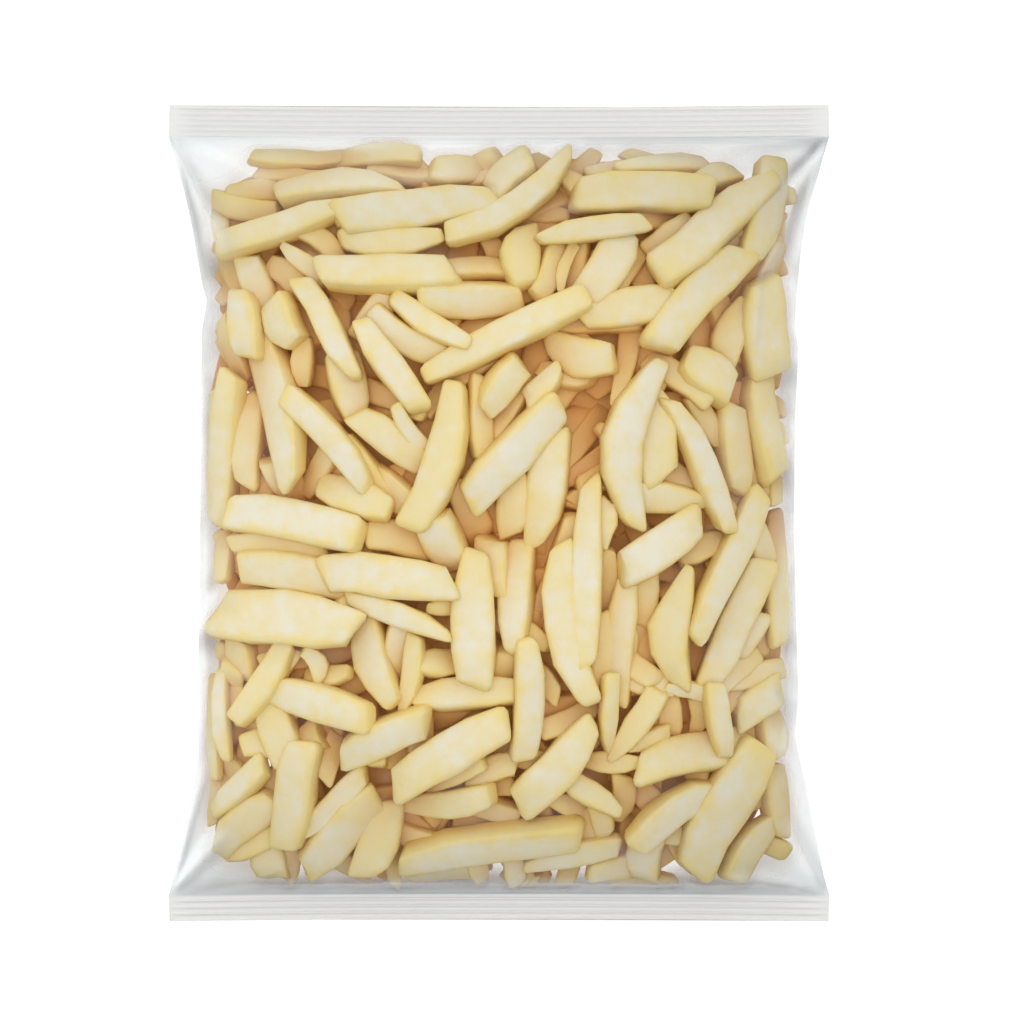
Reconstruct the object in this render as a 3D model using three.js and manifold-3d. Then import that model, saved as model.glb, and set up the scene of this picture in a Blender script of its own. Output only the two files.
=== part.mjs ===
// A clear film pillow bag of frozen thick-cut fries, lying on its back with the shown side up.
// It is one sealed thing, so it is one solid: a pillow core with a crimped seal at each end,
// and the fries that press against the film fused on, their upper faces up to the film.
//
// Millimetres, +Z up. The origin is on the surface that the bag lies on, under its middle.
// +X runs across the bag and +Y along it, towards the deeper of the two seals.
import * as THREE from "three";
import { mergeVertices } from "three/addons/utils/BufferGeometryUtils.js";
import Module from "manifold-3d";

// ---- Driving dimensions of the bag ----
const BAG_LENGTH = 328; // end to end, over both seals
const FLAT_WIDTH = 265; // across the seals, where the film lies flat
const FULL_WIDTH = 239; // across the filled part: filling draws the sides in
const UPPER_SEAL = 13; // depth of the seal at the +Y end
const LOWER_SEAL = 11; // depth of the seal at the -Y end
const SEAL_THICKNESS = 1; // both sheets, with the air the crimp keeps between them
const SEAL_HEIGHT = 17; // how high the seals hang above the surface
const SEAL_DROOP = 2; // how far a seal's outer edge sags below that
const SEAL_BOW = 1; // the middle of a seal is pulled in towards the contents
const RIB_PITCH = 2.2; // crimp ribs run across the bag
const RIB_HEIGHT = 0.35;

// ---- Shape of the pillow ----
const FLARE_START = 0.56; // share of the half length where the sides start to widen again
const FLARE_POWER = 1.6;
const SIDE_POWER = 2.6; // higher is squarer, across the bag
const END_POWER = 3.6; // the same, along the bag
const SIDE_EDGE = 0.5; // lower is blunter, at the sides
const END_EDGE = 0.6; // the same, at the seals
const UNDERSIDE_FILL = 2.1; // the underside sags until the surface stops it

// ---- Driving dimensions of the fries ----
const FRY_LENGTHS = [76, 46]; // the longest and the shortest that show
const FRY_WIDTHS = [11, 16];
const FRY_DEPTH = 0.85; // thickness as a share of the width
const FRY_STANDS_OUT = 5.5; // how far the fries stand out of the core
const FRY_STEP_DOWN = 3; // the last and shortest fries lie this much deeper
const FRY_COUNT = 102;
const SIDE_FRY_COUNT = 6; // along each side
const SIDE_FRY_LENGTH = 52;
const SIDE_REACH = 0.68; // how far towards the seals they lie, as a share of the half length
const SIDE_PLACE = 0.93; // how far out, as a share of the half width
const SIDE_FACING = 0.3 * Math.PI; // how far up from the side they face
const FRY_ROOM = 0.45; // how full the bag is where the outermost fries lie
const PLACES_TRIED = 150;
const SEED = 41;

const halfLength = BAG_LENGTH / 2;
const bodyTop = halfLength - UPPER_SEAL;
const bodyBottom = -halfLength + LOWER_SEAL;
const bodyMiddle = (bodyTop + bodyBottom) / 2;
const bodyHalf = (bodyTop - bodyBottom) / 2;

const clamp = THREE.MathUtils.clamp;
const lerp = THREE.MathUtils.lerp;

// ---- The form of the film ----

// How far along the filled part y is: -1 and 1 at the seals, 0 in the middle.
function along(y) {
  return clamp((y - bodyMiddle) / bodyHalf, -1, 1);
}

function halfWidth(y) {
  const flare = Math.max(0, (Math.abs(along(y)) - FLARE_START) / (1 - FLARE_START));
  return lerp(FULL_WIDTH, FLAT_WIDTH, flare ** FLARE_POWER) / 2;
}

// The swelling at a share u of the half width and v of the half length: 1 in the middle, 0 at the edges.
function swelling(u, v) {
  const across = Math.max(0, 1 - Math.abs(u) ** SIDE_POWER) ** SIDE_EDGE;
  const lengthwise = Math.max(0, 1 - Math.abs(v) ** END_POWER) ** END_EDGE;
  return across * lengthwise;
}

function seamHeight(y) {
  const overhang = Math.max(y - bodyTop, bodyBottom - y, 0);
  return SEAL_HEIGHT - SEAL_DROOP * Math.min(1, overhang / LOWER_SEAL);
}

function underside(u, y) {
  const depth = SEAL_HEIGHT * UNDERSIDE_FILL * swelling(u, along(y));
  return Math.max(0, seamHeight(y) - depth);
}

// Film doesn't stretch, so the girth round the middle is twice the flat width. The crown is as
// high as that girth allows.
function girth(crown) {
  const steps = 400;
  let total = 0;
  for (const height of [
    (u) => SEAL_HEIGHT + crown * swelling(u, 0),
    (u) => underside(u, bodyMiddle),
  ]) {
    for (let i = 0; i < steps; i++) {
      const [a, b] = [i, i + 1].map((k) => Math.cos((Math.PI * k) / steps));
      total += Math.hypot(((b - a) * FULL_WIDTH) / 2, height(b) - height(a));
    }
  }
  return total;
}

function crownForGirth(wanted) {
  let [low, high] = [0, FULL_WIDTH];
  for (let i = 0; i < 40; i++) {
    const middle = (low + high) / 2;
    if (girth(middle) < wanted) low = middle;
    else high = middle;
  }
  return (low + high) / 2;
}

const crown = crownForGirth(2 * FLAT_WIDTH);

// The film's upper sheet over the contents.
function upperSheet(x, y) {
  return seamHeight(y) + crown * swelling(x / halfWidth(y), along(y));
}

// ---- Lofting ----

// A closed surface through rings of equally many points. Each end is capped across its ring,
// which is symmetric about the line from its first point to its middle one.
function loft(rings) {
  const count = rings[0].length;
  const last = (rings.length - 1) * count;
  const faces = [];
  for (let i = 0; i < count; i++) {
    const next = (i + 1) % count;
    for (let start = 0; start < last; start += count) {
      const [a, b] = [start + i, start + next];
      faces.push(a, b, a + count, b, b + count, a + count);
    }
  }
  for (let i = 0; i < count / 2; i++) {
    const [a, b, c, d] = [i, i + 1, count - i - 1, (count - i) % count];
    if (b !== c) faces.push(a, c, b, last + a, last + b, last + c);
    if (a !== d) faces.push(a, d, c, last + a, last + c, last + d);
  }
  const geometry = new THREE.BufferGeometry().setFromPoints(rings.flat());
  return geometry.setIndex(faces);
}

// ---- The pillow core, with its seals ----

const RING_POINTS = 28;
const BODY_STATIONS = 18;

// How full the bag is behind the film, from 0 in the empty corners to 1 over the contents.
function fullness(u, y) {
  return clamp(2.2 * swelling(u, along(y)) - 0.35, 0, 1);
}

// One ring round the bag at y: from +X back under the bag to -X, and over it again.
function ringAt({ y, lift }) {
  const points = [];
  for (let i = 0; i < RING_POINTS; i++) {
    const angle = (-2 * Math.PI * i) / RING_POINTS;
    const [u, over] = [Math.cos(angle), Math.sin(angle)];
    const bow = SEAL_BOW * Math.sign(along(y)) * Math.abs(along(y)) ** 8 * (1 - u * u);
    const sheet = clamp(2 * over, -1, 1) * (SEAL_THICKNESS / 2);
    const x = u * halfWidth(y);
    const z =
      over > 0
        ? Math.max(upperSheet(x, y) - FRY_STANDS_OUT * fullness(u, y), seamHeight(y) + sheet)
        : Math.min(underside(u, y), seamHeight(y) + sheet);
    points.push(new THREE.Vector3(x, y - bow, z + lift));
  }
  return points;
}

// The stations of a seal from the body outwards: flat for one rib, then ridge and groove in turn.
function sealStations(start, end) {
  const depth = Math.abs(end - start);
  const ribs = Math.floor(depth / RIB_PITCH - 0.5);
  const sign = Math.sign(end - start);
  const stations = [];
  for (let i = 0; i <= 2 * ribs; i++) {
    const y = start + sign * (RIB_PITCH / 2) * (i + 1);
    stations.push({ y, lift: i % 2 ? RIB_HEIGHT : 0 });
  }
  return [...stations, { y: end, lift: 0 }];
}

function pillow() {
  const body = [];
  for (let i = 0; i <= BODY_STATIONS; i++) {
    // closer together near the seals, where the film slopes most
    const v = -Math.cos((Math.PI * i) / BODY_STATIONS);
    body.push({ y: bodyMiddle + bodyHalf * v, lift: 0 });
  }
  const stations = [
    ...sealStations(bodyBottom, -halfLength).reverse(),
    ...body,
    ...sealStations(bodyTop, halfLength),
  ];
  return loft(stations.map(ringAt));
}

// ---- The fries ----

const FRY_STATIONS = [-1, -0.86, 0, 0.86, 1]; // as shares of the half length
// Across a fry, in half widths: a cut stick is nearly square.
const FRY_SECTION = [
  [1, -1],
  [0.84, 1],
  [-0.84, 1],
  [-1, -1],
].map(([a, b]) => new THREE.Vector2(a / 2, b / 2));

function seeded(seed) {
  let state = seed;
  return () => {
    state = (state * 1664525 + 1013904223) >>> 0;
    return state / 2 ** 32;
  };
}

// A cut potato stick round a straight middle line: softly square across, narrower at each end.
function fry({ middle, direction, up, length, width, bend, ends }) {
  const side = new THREE.Vector3().crossVectors(up, direction).normalize();
  const depth = width * FRY_DEPTH;
  const rings = FRY_STATIONS.map((s) => {
    const tip = Math.abs(s) === 1 ? 0.78 : 1;
    const scale = tip * (s < 0 ? lerp(1, ends[0], s * s) : lerp(1, ends[1], s * s));
    const centre = middle
      .clone()
      .addScaledVector(direction, (s * length) / 2)
      .addScaledVector(side, bend * (1 - s * s));
    return FRY_SECTION.map((p) =>
      centre
        .clone()
        .addScaledVector(side, p.x * width * scale)
        .addScaledVector(up, p.y * depth * scale),
    );
  });
  return loft(rings);
}

// A fry just under the upper sheet: it bridges the dome between two places along its length.
function fryUnderFilm({ x, y, turn }, deeper, shape) {
  const flat = new THREE.Vector3(Math.cos(turn), Math.sin(turn), 0);
  const reach = 0.42 * shape.length;
  const [start, end] = [-reach, reach].map((s) => {
    const place = new THREE.Vector3(x, y, 0).addScaledVector(flat, s);
    return place.setZ(upperSheet(place.x, place.y) - deeper);
  });
  const direction = end.clone().sub(start).normalize();
  const across = new THREE.Vector3(0, 0, 1).cross(direction);
  const up = direction.clone().cross(across).normalize();
  const middle = start.add(end).multiplyScalar(0.5);
  middle.addScaledVector(up, (-shape.width * FRY_DEPTH) / 2);
  return fry({ middle, direction, up, ...shape });
}

// A fry lying along the blunt side of the bag, its broad face towards the film.
function fryAtSide(sign, y, turn, shape) {
  const up = new THREE.Vector3(sign * Math.cos(SIDE_FACING), 0, Math.sin(SIDE_FACING));
  const downSide = new THREE.Vector3(-up.z, 0, up.x);
  const direction = new THREE.Vector3(0, Math.cos(turn), 0)
    .addScaledVector(downSide, Math.sin(turn))
    .normalize();
  const x = sign * SIDE_PLACE * halfWidth(y);
  const middle = new THREE.Vector3(x, y, upperSheet(x, y));
  middle.addScaledVector(up, (-shape.width * FRY_DEPTH) / 2);
  return fry({ middle, direction, up, ...shape });
}

// True if a fry of that size would lie inside the film and clear of the empty corners.
function fits(x, y, turn, length) {
  return [-0.5, 0, 0.5].every((s) => {
    const [px, py] = [x + s * length * Math.cos(turn), y + s * length * Math.sin(turn)];
    return fullness(px / halfWidth(py), py) > FRY_ROOM;
  });
}

// Points spaced along the middle line of a fry, seen from above.
function spine({ x, y, turn, length }) {
  return [-0.42, -0.21, 0, 0.21, 0.42].map(
    (s) => new THREE.Vector2(x + s * length * Math.cos(turn), y + s * length * Math.sin(turn)),
  );
}

function gapBetween(a, b) {
  return Math.min(...a.flatMap((p) => b.map((q) => p.distanceTo(q))));
}

// Of many random places, the one that leaves the widest gap to every fry placed before.
function clearestPlace(placed, length, random) {
  let best = null;
  for (let i = 0; i < PLACES_TRIED; i++) {
    const x = lerp(-1, 1, random()) * (FULL_WIDTH / 2);
    const y = lerp(bodyBottom, bodyTop, random());
    const turn = Math.PI * random();
    if (!fits(x, y, turn, length)) continue;
    const line = spine({ x, y, turn, length });
    const gap = Math.min(BAG_LENGTH, ...placed.map((other) => gapBetween(line, other.line)));
    if (!best || gap > best.gap) best = { x, y, turn, line, gap };
  }
  return best;
}

function shapeOf(length, random) {
  return {
    length,
    width: lerp(...FRY_WIDTHS, random()),
    bend: lerp(-3, 3, random()),
    ends: [lerp(0.55, 1, random()), lerp(0.55, 1, random())],
  };
}

function fries() {
  const random = seeded(SEED);
  const placed = [];
  const made = [];
  for (let i = 0; i < FRY_COUNT; i++) {
    const share = i / (FRY_COUNT - 1);
    const length = lerp(...FRY_LENGTHS, share); // the longest first
    const place = clearestPlace(placed, length, random);
    if (!place) continue;
    placed.push(place);
    made.push(fryUnderFilm(place, share * FRY_STEP_DOWN, shapeOf(length, random)));
  }
  const reach = bodyHalf * SIDE_REACH;
  for (const sign of [-1, 1]) {
    for (let i = 0; i < SIDE_FRY_COUNT; i++) {
      const y = lerp(-reach, reach, i / (SIDE_FRY_COUNT - 1));
      const turn = lerp(-0.25, 0.25, random());
      made.push(fryAtSide(sign, y, turn, shapeOf(SIDE_FRY_LENGTH, random)));
    }
  }
  return made;
}

// ---- Fusing ----

const wasm = await Module();
wasm.setup();

function toSolid(geometry) {
  const merged = mergeVertices(geometry);
  return new wasm.Manifold(
    new wasm.Mesh({
      numProp: 3,
      vertProperties: new Float32Array(merged.getAttribute("position").array),
      triVerts: new Uint32Array(merged.index.array),
    }),
  );
}

function toGeometry(solid) {
  const mesh = solid.getMesh();
  const geometry = new THREE.BufferGeometry();
  geometry.setAttribute("position", new THREE.BufferAttribute(mesh.vertProperties, 3));
  geometry.setIndex(new THREE.BufferAttribute(mesh.triVerts, 1));
  geometry.computeVertexNormals();
  return geometry;
}

const solid = fries().reduce((whole, one) => whole.add(toSolid(one)), toSolid(pillow()));

const bag = new THREE.Mesh(
  toGeometry(solid),
  new THREE.MeshStandardMaterial({ color: 0xe8dcb4, roughness: 0.35, metalness: 0 }),
);
bag.name = "bag_of_fries";

const part = new THREE.Group();
part.add(bag);
export default part;
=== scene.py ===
# %% [markdown]
# A clear film pillow bag of frozen thick-cut fries, seen from straight above.
# The CAD model holds the bag as one solid. Here that solid is replaced by what a shopper sees:
# the fries, each one a stick of cut potato, and the clear film that holds them, with a crimped
# seal at each end. A painted skin could pass for them from above, but not from the side, so
# both are real meshes. This cell loads the frame and keeps the CAD model's box.

# %% Load the frame
import math

import bpy
import numpy as np
from mathutils import Matrix, Vector
from mathutils.bvhtree import BVHTree


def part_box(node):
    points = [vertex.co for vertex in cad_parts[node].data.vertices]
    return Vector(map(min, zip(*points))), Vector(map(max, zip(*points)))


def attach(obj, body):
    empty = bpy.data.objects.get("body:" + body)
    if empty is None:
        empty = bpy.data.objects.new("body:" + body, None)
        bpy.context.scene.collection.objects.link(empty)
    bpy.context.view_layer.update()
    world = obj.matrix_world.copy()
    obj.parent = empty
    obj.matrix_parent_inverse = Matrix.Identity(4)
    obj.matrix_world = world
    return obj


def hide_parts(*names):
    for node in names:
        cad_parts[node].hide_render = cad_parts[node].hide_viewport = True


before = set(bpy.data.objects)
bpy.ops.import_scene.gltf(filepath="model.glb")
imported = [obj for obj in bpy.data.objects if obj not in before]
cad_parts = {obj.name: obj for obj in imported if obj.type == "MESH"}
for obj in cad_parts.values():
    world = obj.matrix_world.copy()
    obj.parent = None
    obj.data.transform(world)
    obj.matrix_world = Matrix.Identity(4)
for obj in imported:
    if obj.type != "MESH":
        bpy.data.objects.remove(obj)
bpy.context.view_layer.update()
bag_low, bag_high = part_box("bag_of_fries")
MM = 0.001  # the sizes below are in millimetres, the meshes in metres
print("CAD box in mm:", [round(side / MM, 1) for side in bag_high - bag_low])

# %% [markdown]
# The bag is a flat tube of film, sealed at both ends. Filling it draws its sides in, so it is
# narrower in the middle than at the seals, and as high as the girth of the film allows. Its
# form could be sculpted, or blown up by a cloth simulation. Here it comes from a few sizes and
# formulas, the same that drive the CAD model, so that the two always agree.

# %% Sizes of the bag
BAG_LENGTH = (bag_high.y - bag_low.y) / MM
FLAT_WIDTH = (bag_high.x - bag_low.x) / MM
FULL_WIDTH = 239  # across the middle, where the filling has drawn the sides in
UPPER_SEAL, LOWER_SEAL = 13, 11
SEAL_HEIGHT = 17  # of both seals and the seams above what the bag lies on
SEAL_DROOP, SEAL_BOW = 2, 1  # how far a seal's outer edge hangs, and how far its middle bows
CROWN = 40.5  # how high the filled bag stands above its seals
FLARE_START, FLARE_POWER = 0.56, 1.6  # where the sides begin to widen towards the seals
SIDE_POWER, END_POWER = 2.6, 3.6  # how flat the top is, across the bag and along it
SIDE_EDGE, END_EDGE = 0.5, 0.6  # how steeply it falls to the sides and to the seals
UNDERSIDE_FILL = 2.1  # above 1, so that the underside settles flat

BODY_TOP = BAG_LENGTH / 2 - UPPER_SEAL
BODY_BOTTOM = -BAG_LENGTH / 2 + LOWER_SEAL
BODY_MIDDLE = (BODY_TOP + BODY_BOTTOM) / 2
BODY_HALF = (BODY_TOP - BODY_BOTTOM) / 2
print(f"bag {FLAT_WIDTH:.0f} by {BAG_LENGTH:.0f} mm, filled part {2 * BODY_HALF:.0f} mm long")


# %% The film's form, as functions of the place on the bag
def along(y):
    """-1 and 1 at the seals, 0 in the middle of the bag."""
    return np.clip((y - BODY_MIDDLE) / BODY_HALF, -1, 1)


def half_width(y):
    flare = np.clip((np.abs(along(y)) - FLARE_START) / (1 - FLARE_START), 0, 1) ** FLARE_POWER
    return (FULL_WIDTH + (FLAT_WIDTH - FULL_WIDTH) * flare) / 2


# How far the sides stand out of that smooth form, read along each side from top to bottom
LEFT_PUCKERS = [(104, 0), (92, -0.7), (85, -2.3), (74, -0.3), (57, 0), (10, 0.4), (-35, 0.7),
                (-83, 1.8), (-99, 0.2), (-125, 1.0), (-140, 0)]
RIGHT_PUCKERS = [(135, 0), (122, -0.8), (94, 0), (75, -0.7), (65, 0.7), (38, -0.7), (-7, -1.1),
                 (-50, 0), (-74, 0.7), (-89, -0.8), (-108, 1.3), (-132, 1.1), (-146, 0)]


def pucker(y, side):
    rows = sorted(LEFT_PUCKERS if side < 0 else RIGHT_PUCKERS)
    return np.interp(y, [row[0] for row in rows], [row[1] for row in rows])


def swelling(x, y):
    """1 where the bag is fullest, 0 at its sides and seals."""
    across = np.clip(1 - np.abs(x / half_width(y)) ** SIDE_POWER, 0, 1) ** SIDE_EDGE
    lengthwise = np.clip(1 - np.abs(along(y)) ** END_POWER, 0, 1) ** END_EDGE
    return across * lengthwise


def seam_height(y):
    overhang = np.maximum(np.maximum(y - BODY_TOP, BODY_BOTTOM - y), 0)
    return SEAL_HEIGHT - SEAL_DROOP * np.clip(overhang / LOWER_SEAL, 0, 1)


def upper_sheet(x, y):
    return seam_height(y) + CROWN * swelling(x, y)


def underside(x, y):
    return np.maximum(0, seam_height(y) - SEAL_HEIGHT * UNDERSIDE_FILL * swelling(x, y))


print(f"the film stands {upper_sheet(0, 0):.0f} mm high")

# %% [markdown]
# Each fry that shows through the front is placed from the photograph. Sticks dropped
# into the bag at random would make a heap too, but not this one. A row gives the two ends of
# the fry's middle line, its width and its layer, 3 being the top one. Sizes are in millimetres
# on the plane of the seals, with x to the right and y up the bag. A bend curves the middle line
# to the left of the way from the first end to the second. Tips are the widths left at the two
# ends, and tone goes from white potato at 0 to yellow at 1.

# %% The fries that show, from the upper seal down
PLAIN_TIPS = (0.85, 0.85)  # stands for tips that are drawn at random


def fry(start, end, width, layer, bend=0.0, tips=PLAIN_TIPS, tone=0.4):
    return dict(start=start, end=end, width=width, layer=layer, bend=bend, tips=tips, tone=tone)


UPPER_FRIES = [
    fry((-99, 142.5), (-64, 142), 8, 1, tone=0.6),
    fry((-97, 136.5), (-70, 134), 7, 0),
    fry((-109, 128.5), (-82, 128.5), 9, 0),
    fry((-114, 125.5), (-90, 120.5), 8.5, 1, tone=0.6),
    fry((-112.5, 127), (-111, 111), 7, 0),
    fry((-64, 142), (-32.5, 143.5), 9, 1, tone=0.8),
    fry((-52, 138), (-24, 135), 8, 0),
    fry((-26, 137), (-8, 136.5), 11, 1, tone=0.3),
    fry((-64.5, 118.5), (-3, 125), 14.5, 3, bend=1, tips=(0.9, 0.55), tone=0.2),
    fry((-112.5, 106.5), (-60.5, 124.5), 11, 3, bend=-1.5, tips=(0.95, 0.4), tone=0.5),
    fry((-88, 129.5), (-38, 131.5), 12.5, 2, bend=3.5, tips=(0.75, 0.3), tone=0.3),
    fry((-63, 109), (-24, 110), 11, 2, tone=0.7),
    fry((-71, 96), (-19, 96), 13.5, 3, tips=(0.85, 0.9), tone=0.6),
    fry((-101, 103), (-92, 78), 11.5, 1, tone=0.2),
    fry((-92, 101), (-78, 90), 10, 0),
    fry((-87, 107), (-70, 94), 7, 1, tone=0.2),
    fry((-77, 113), (-64, 102), 8, 0, tone=0.8),
    fry((-114, 111), (-110, 88), 12, 0, tone=0.8),
    fry((-79, 93), (-59, 55), 10, 3, tips=(0.85, 0.35), tone=0.2),
    fry((-104, 88), (-100, 63), 13, 2, tone=0.3),
    fry((-90, 84), (-83, 68), 14, 2),
    fry((-43, 86), (-14, 67), 9, 3, tips=(0.7, 0.6), tone=0.2),
    fry((-51, 80), (-24, 63), 11, 2, tone=0.2),
    fry((-12, 133), (3, 136), 6, 0),
    fry((11, 141.5), (-3, 127), 13.5, 2, tips=(0.75, 0.8), tone=0.3),
    fry((31, 143), (-18, 109), 11, 3, bend=7, tips=(0.45, 0.85)),
    fry((31, 128), (84, 129), 14.5, 3, tips=(0.85, 0.9), tone=0.5),
    fry((80, 132), (95, 137), 9, 1),
    fry((36, 136), (60, 138.5), 8, 0, tone=0.3),
    fry((48, 138), (83, 139.5), 9, 1, bend=1.5),
    fry((16.5, 110), (58, 117), 9, 2, tone=0.5),
    fry((9, 114), (8, 92), 14.5, 2, tone=1),
    fry((24, 109), (16, 87), 9, 1, tone=0.5),
    fry((-24, 97.5), (3, 98), 8, 0),
    fry((-31, 85), (8, 87), 13, 2, tone=0.3),
    fry((52, 112), (36, 86), 15.5, 2, tips=(0.7, 0.75), tone=0.2),
    fry((30, 108), (24, 90), 5, 1, tone=1),
    fry((-29.5, 55), (35, 87), 11.5, 3, tips=(0.6, 0.9), tone=0.6),
    fry((33, 79), (73, 85), 14, 2, tone=0.5),
    fry((64, 95), (109, 136.5), 15.5, 3, tips=(0.95, 0.45), tone=0.5),
    fry((117, 140.5), (108, 100), 13, 2),
    fry((109, 93), (110, 57), 18, 2, tone=0.5),
    fry((97, 105), (63, 68), 15, 3, tips=(0.85, 0.9), tone=0.3),
    fry((60, 105), (77, 118), 10, 0),
    fry((47, 90), (58, 107), 8, 0, tone=0.8),
    fry((90, 111), (108, 121), 9, 0),
    fry((86, 105), (101, 111), 9, 0),
]

LEFT_FRIES = [
    fry((-95, 73), (-80.5, 13), 15, 2, tips=(0.75, 0.6), tone=0.3),
    fry((-84, 48), (-52, 12), 10.5, 3, bend=2, tips=(0.9, 0.55), tone=0.2),
    fry((-63, 30), (-44, 2), 9, 1, tone=1),
    fry((-71, 11), (-44, 2), 13, 2, tone=0.8),
    fry((-67, 27), (-77, 8), 9, 0),
    fry((-92, 21), (-80, 7), 12, 0, tone=0.3),
    fry((-99, 47), (-102, 12), 12.5, 1),
    fry((-108, 55), (-112, -5), 11, 2, tone=0.6),
    fry((-116, 48), (-116.5, -3), 6, 1, tone=0.6),
    fry((-111, 78), (-102, 54), 8, 0, tone=0.8),
    fry((-79, 70), (-80, 52), 8, 0, tone=0.8),
    fry((-63, 63), (-58, 38), 13, 1, tone=0.2),
    fry((-56, 76), (-32, 42), 10.5, 3, tips=(0.7, 0.8), tone=0.2),
    fry((-57, 40), (-30, 20), 12, 2, tone=0.7),
    fry((-42, 42), (-28.5, 24), 6, 2, tone=0.1),
    fry((-50, 17), (-34, 2), 12, 1),
    fry((-108, 0.5), (-56, -8.5), 14.5, 3, bend=2, tips=(0.9, 0.9), tone=0.1),
    fry((-104, -20), (-62, -27), 14, 2, tips=(0.8, 0.8), tone=0.3),
    fry((-108, -12), (-70, -14), 9, 1, tone=0.7),
    fry((-110, -8), (-111, -26), 7, 1, tone=0.9),
    fry((-70, -23.5), (-19, -28), 15.5, 3, tips=(0.8, 0.75), tone=0.2),
    fry((-113.5, -40), (-57, -44), 20, 3, tips=(0.85, 0.6)),
    fry((-63, -35), (-51, -48), 7, 1, tone=1),
    fry((-60, -33.5), (-20, -47.5), 8.5, 3, tips=(0.6, 0.4)),
    fry((-55, -43), (-44, -77), 13, 2, tips=(0.9, 0.5), tone=0.3),
    fry((-39, -43), (-43, -63), 8, 1, tone=0.2),
    fry((-33, -50), (-38, -80), 7.5, 2, tips=(0.8, 0.4), tone=0.8),
    fry((-77, -55), (-71, -65), 7, 1),
    fry((-76, -66), (-61, -64), 7, 0, tone=0.8),
    fry((-84, -53), (-105, -84), 10.5, 3, tips=(0.8, 0.75), tone=0.7),
    fry((-104, -52), (-100, -67), 12, 1, tone=0.5),
    fry((-112, -54), (-106, -58), 7, 0, tone=1),
    fry((-110, -62), (-103, -68), 8, 1, tone=0.9),
    fry((-109, -64), (-102, -82), 9, 0),
    fry((-80, -55), (-91, -69), 7, 0),
    fry((-93, -71), (-52, -82), 13.5, 3, bend=1, tips=(0.6, 0.85), tone=0.2),
    fry((-117, -66), (-117, -106), 6, 1, tone=0.7),
    fry((-112, -64), (-110, -98), 7, 2, tone=0.2),
    fry((-95, -76), (-99, -87), 11, 0),
]

MIDDLE_FRIES = [
    fry((-15.5, 51), (-33, -6), 14, 3, bend=5, tips=(0.55, 0.95), tone=0.9),
    fry((8, 60), (-5, 42), 12, 2, tips=(0.9, 0.6), tone=0.5),
    fry((-8, 54), (-7, 22), 9, 0, tone=0.8),
    fry((12, 53), (-6, 27), 9, 0),
    fry((23, 43), (-12, 5), 14.5, 3, tips=(0.8, 0.85), tone=0.2),
    fry((24, 58), (12, 45), 9, 1),
    fry((20, 66), (45, 60), 15, 1, tone=0.3),
    fry((17, 57), (37, 53), 10, 0),
    fry((58.5, 61), (48.5, -4), 15, 3, bend=-9, tips=(0.45, 0.55), tone=0.1),
    fry((22, 31), (16, -13), 14.5, 2, tips=(0.9, 0.45), tone=0.3),
    fry((37, 13), (35, -60), 11, 3, bend=-2, tips=(0.65, 0.7), tone=0.3),
    fry((6, 13), (5.5, -9), 12.5, 1, tone=0.6),
    fry((-27, -2), (-15.5, -20), 14, 2, tips=(0.95, 0.6), tone=0.1),
    fry((-52, -9), (-22, -13), 13, 0, tone=0.3),
    fry((-10, -17), (-10, -69), 16, 3, tips=(0.55, 0.75), tone=0.5),
    fry((-3, -11), (-2, -32), 13, 1, tone=0.3),
    fry((9, -13), (7, -55), 12.5, 2, bend=-3, tips=(0.8, 0.45), tone=0.2),
    fry((22.5, -13.5), (33.5, -76), 13, 3, bend=-6, tips=(0.7, 0.6)),
    fry((44, -15), (43, -40), 8, 0, tone=1),
    fry((51, -27), (47, -75), 11, 1, tone=0.2),
    fry((42, -42), (43, -74), 10, 1, tone=0.9),
    fry((-27, -38), (-18, -38), 6, 0, tone=0.8),
    fry((-31, -60), (-16, -61), 10, 1, tone=0.7),
]

RIGHT_FRIES = [
    fry((75, 62), (92, 50), 16.5, 2, tips=(0.6, 0.8), tone=0.6),
    fry((60, 62), (84, 46), 10, 1, tone=0.5),
    fry((60, 54), (66, 15), 16, 2, tips=(0.45, 0.8), tone=0.5),
    fry((69, 45), (92, -6), 10.5, 3, bend=3, tips=(0.5, 0.65), tone=0.2),
    fry((78, 45), (87, 28), 8, 0),
    fry((93, 42), (96, 9), 12.5, 1),
    fry((98, 84), (89, 62), 12.5, 1, tone=0.3),
    fry((106, 58), (113, 15), 12.5, 2, tone=0.6),
    fry((50, 8), (83, 6.5), 11, 2, tips=(0.95, 0.3), tone=0.5),
    fry((105.5, 8), (78, -50), 12, 3, tips=(0.8, 0.6), tone=0.3),
    fry((97, 25), (105, 8), 9, 0),
    fry((103, 40), (106, 18), 8, 0),
    fry((108, 22), (111, 4), 7, 0, tone=0.8),
    fry((44, 4), (41, -12), 7, 1, tone=0.5),
    fry((50, -23), (79, -4), 15, 3, tips=(0.85, 0.8), tone=0.2),
    fry((73, -18), (93, -11), 10, 0, tone=0.9),
    fry((72, -22), (69, -69), 14.5, 2, bend=-3, tips=(0.25, 0.6), tone=0.7),
    fry((106, -20.5), (82, -70), 13, 2, tips=(0.9, 0.6), tone=0.3),
    fry((103, -8), (107, -22), 10, 1, tone=0.3),
    fry((104, -43), (92, -57), 12, 1, tone=0.2),
    fry((112, 0), (113, -52), 9, 1, tone=0.5),
    fry((84, -72), (103, -58), 9, 1, tone=0.5),
    fry((114, -63), (90, -68), 9, 1),
    fry((112, -70), (95, -82), 13, 2, tone=0.3),
    fry((52, -60), (64, -68), 9, 1, tone=0.7),
    fry((52, -68), (69, -70), 8, 1, tone=0.3),
    fry((68, -70), (85, -73), 6, 2, tone=0.3),
]

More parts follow.
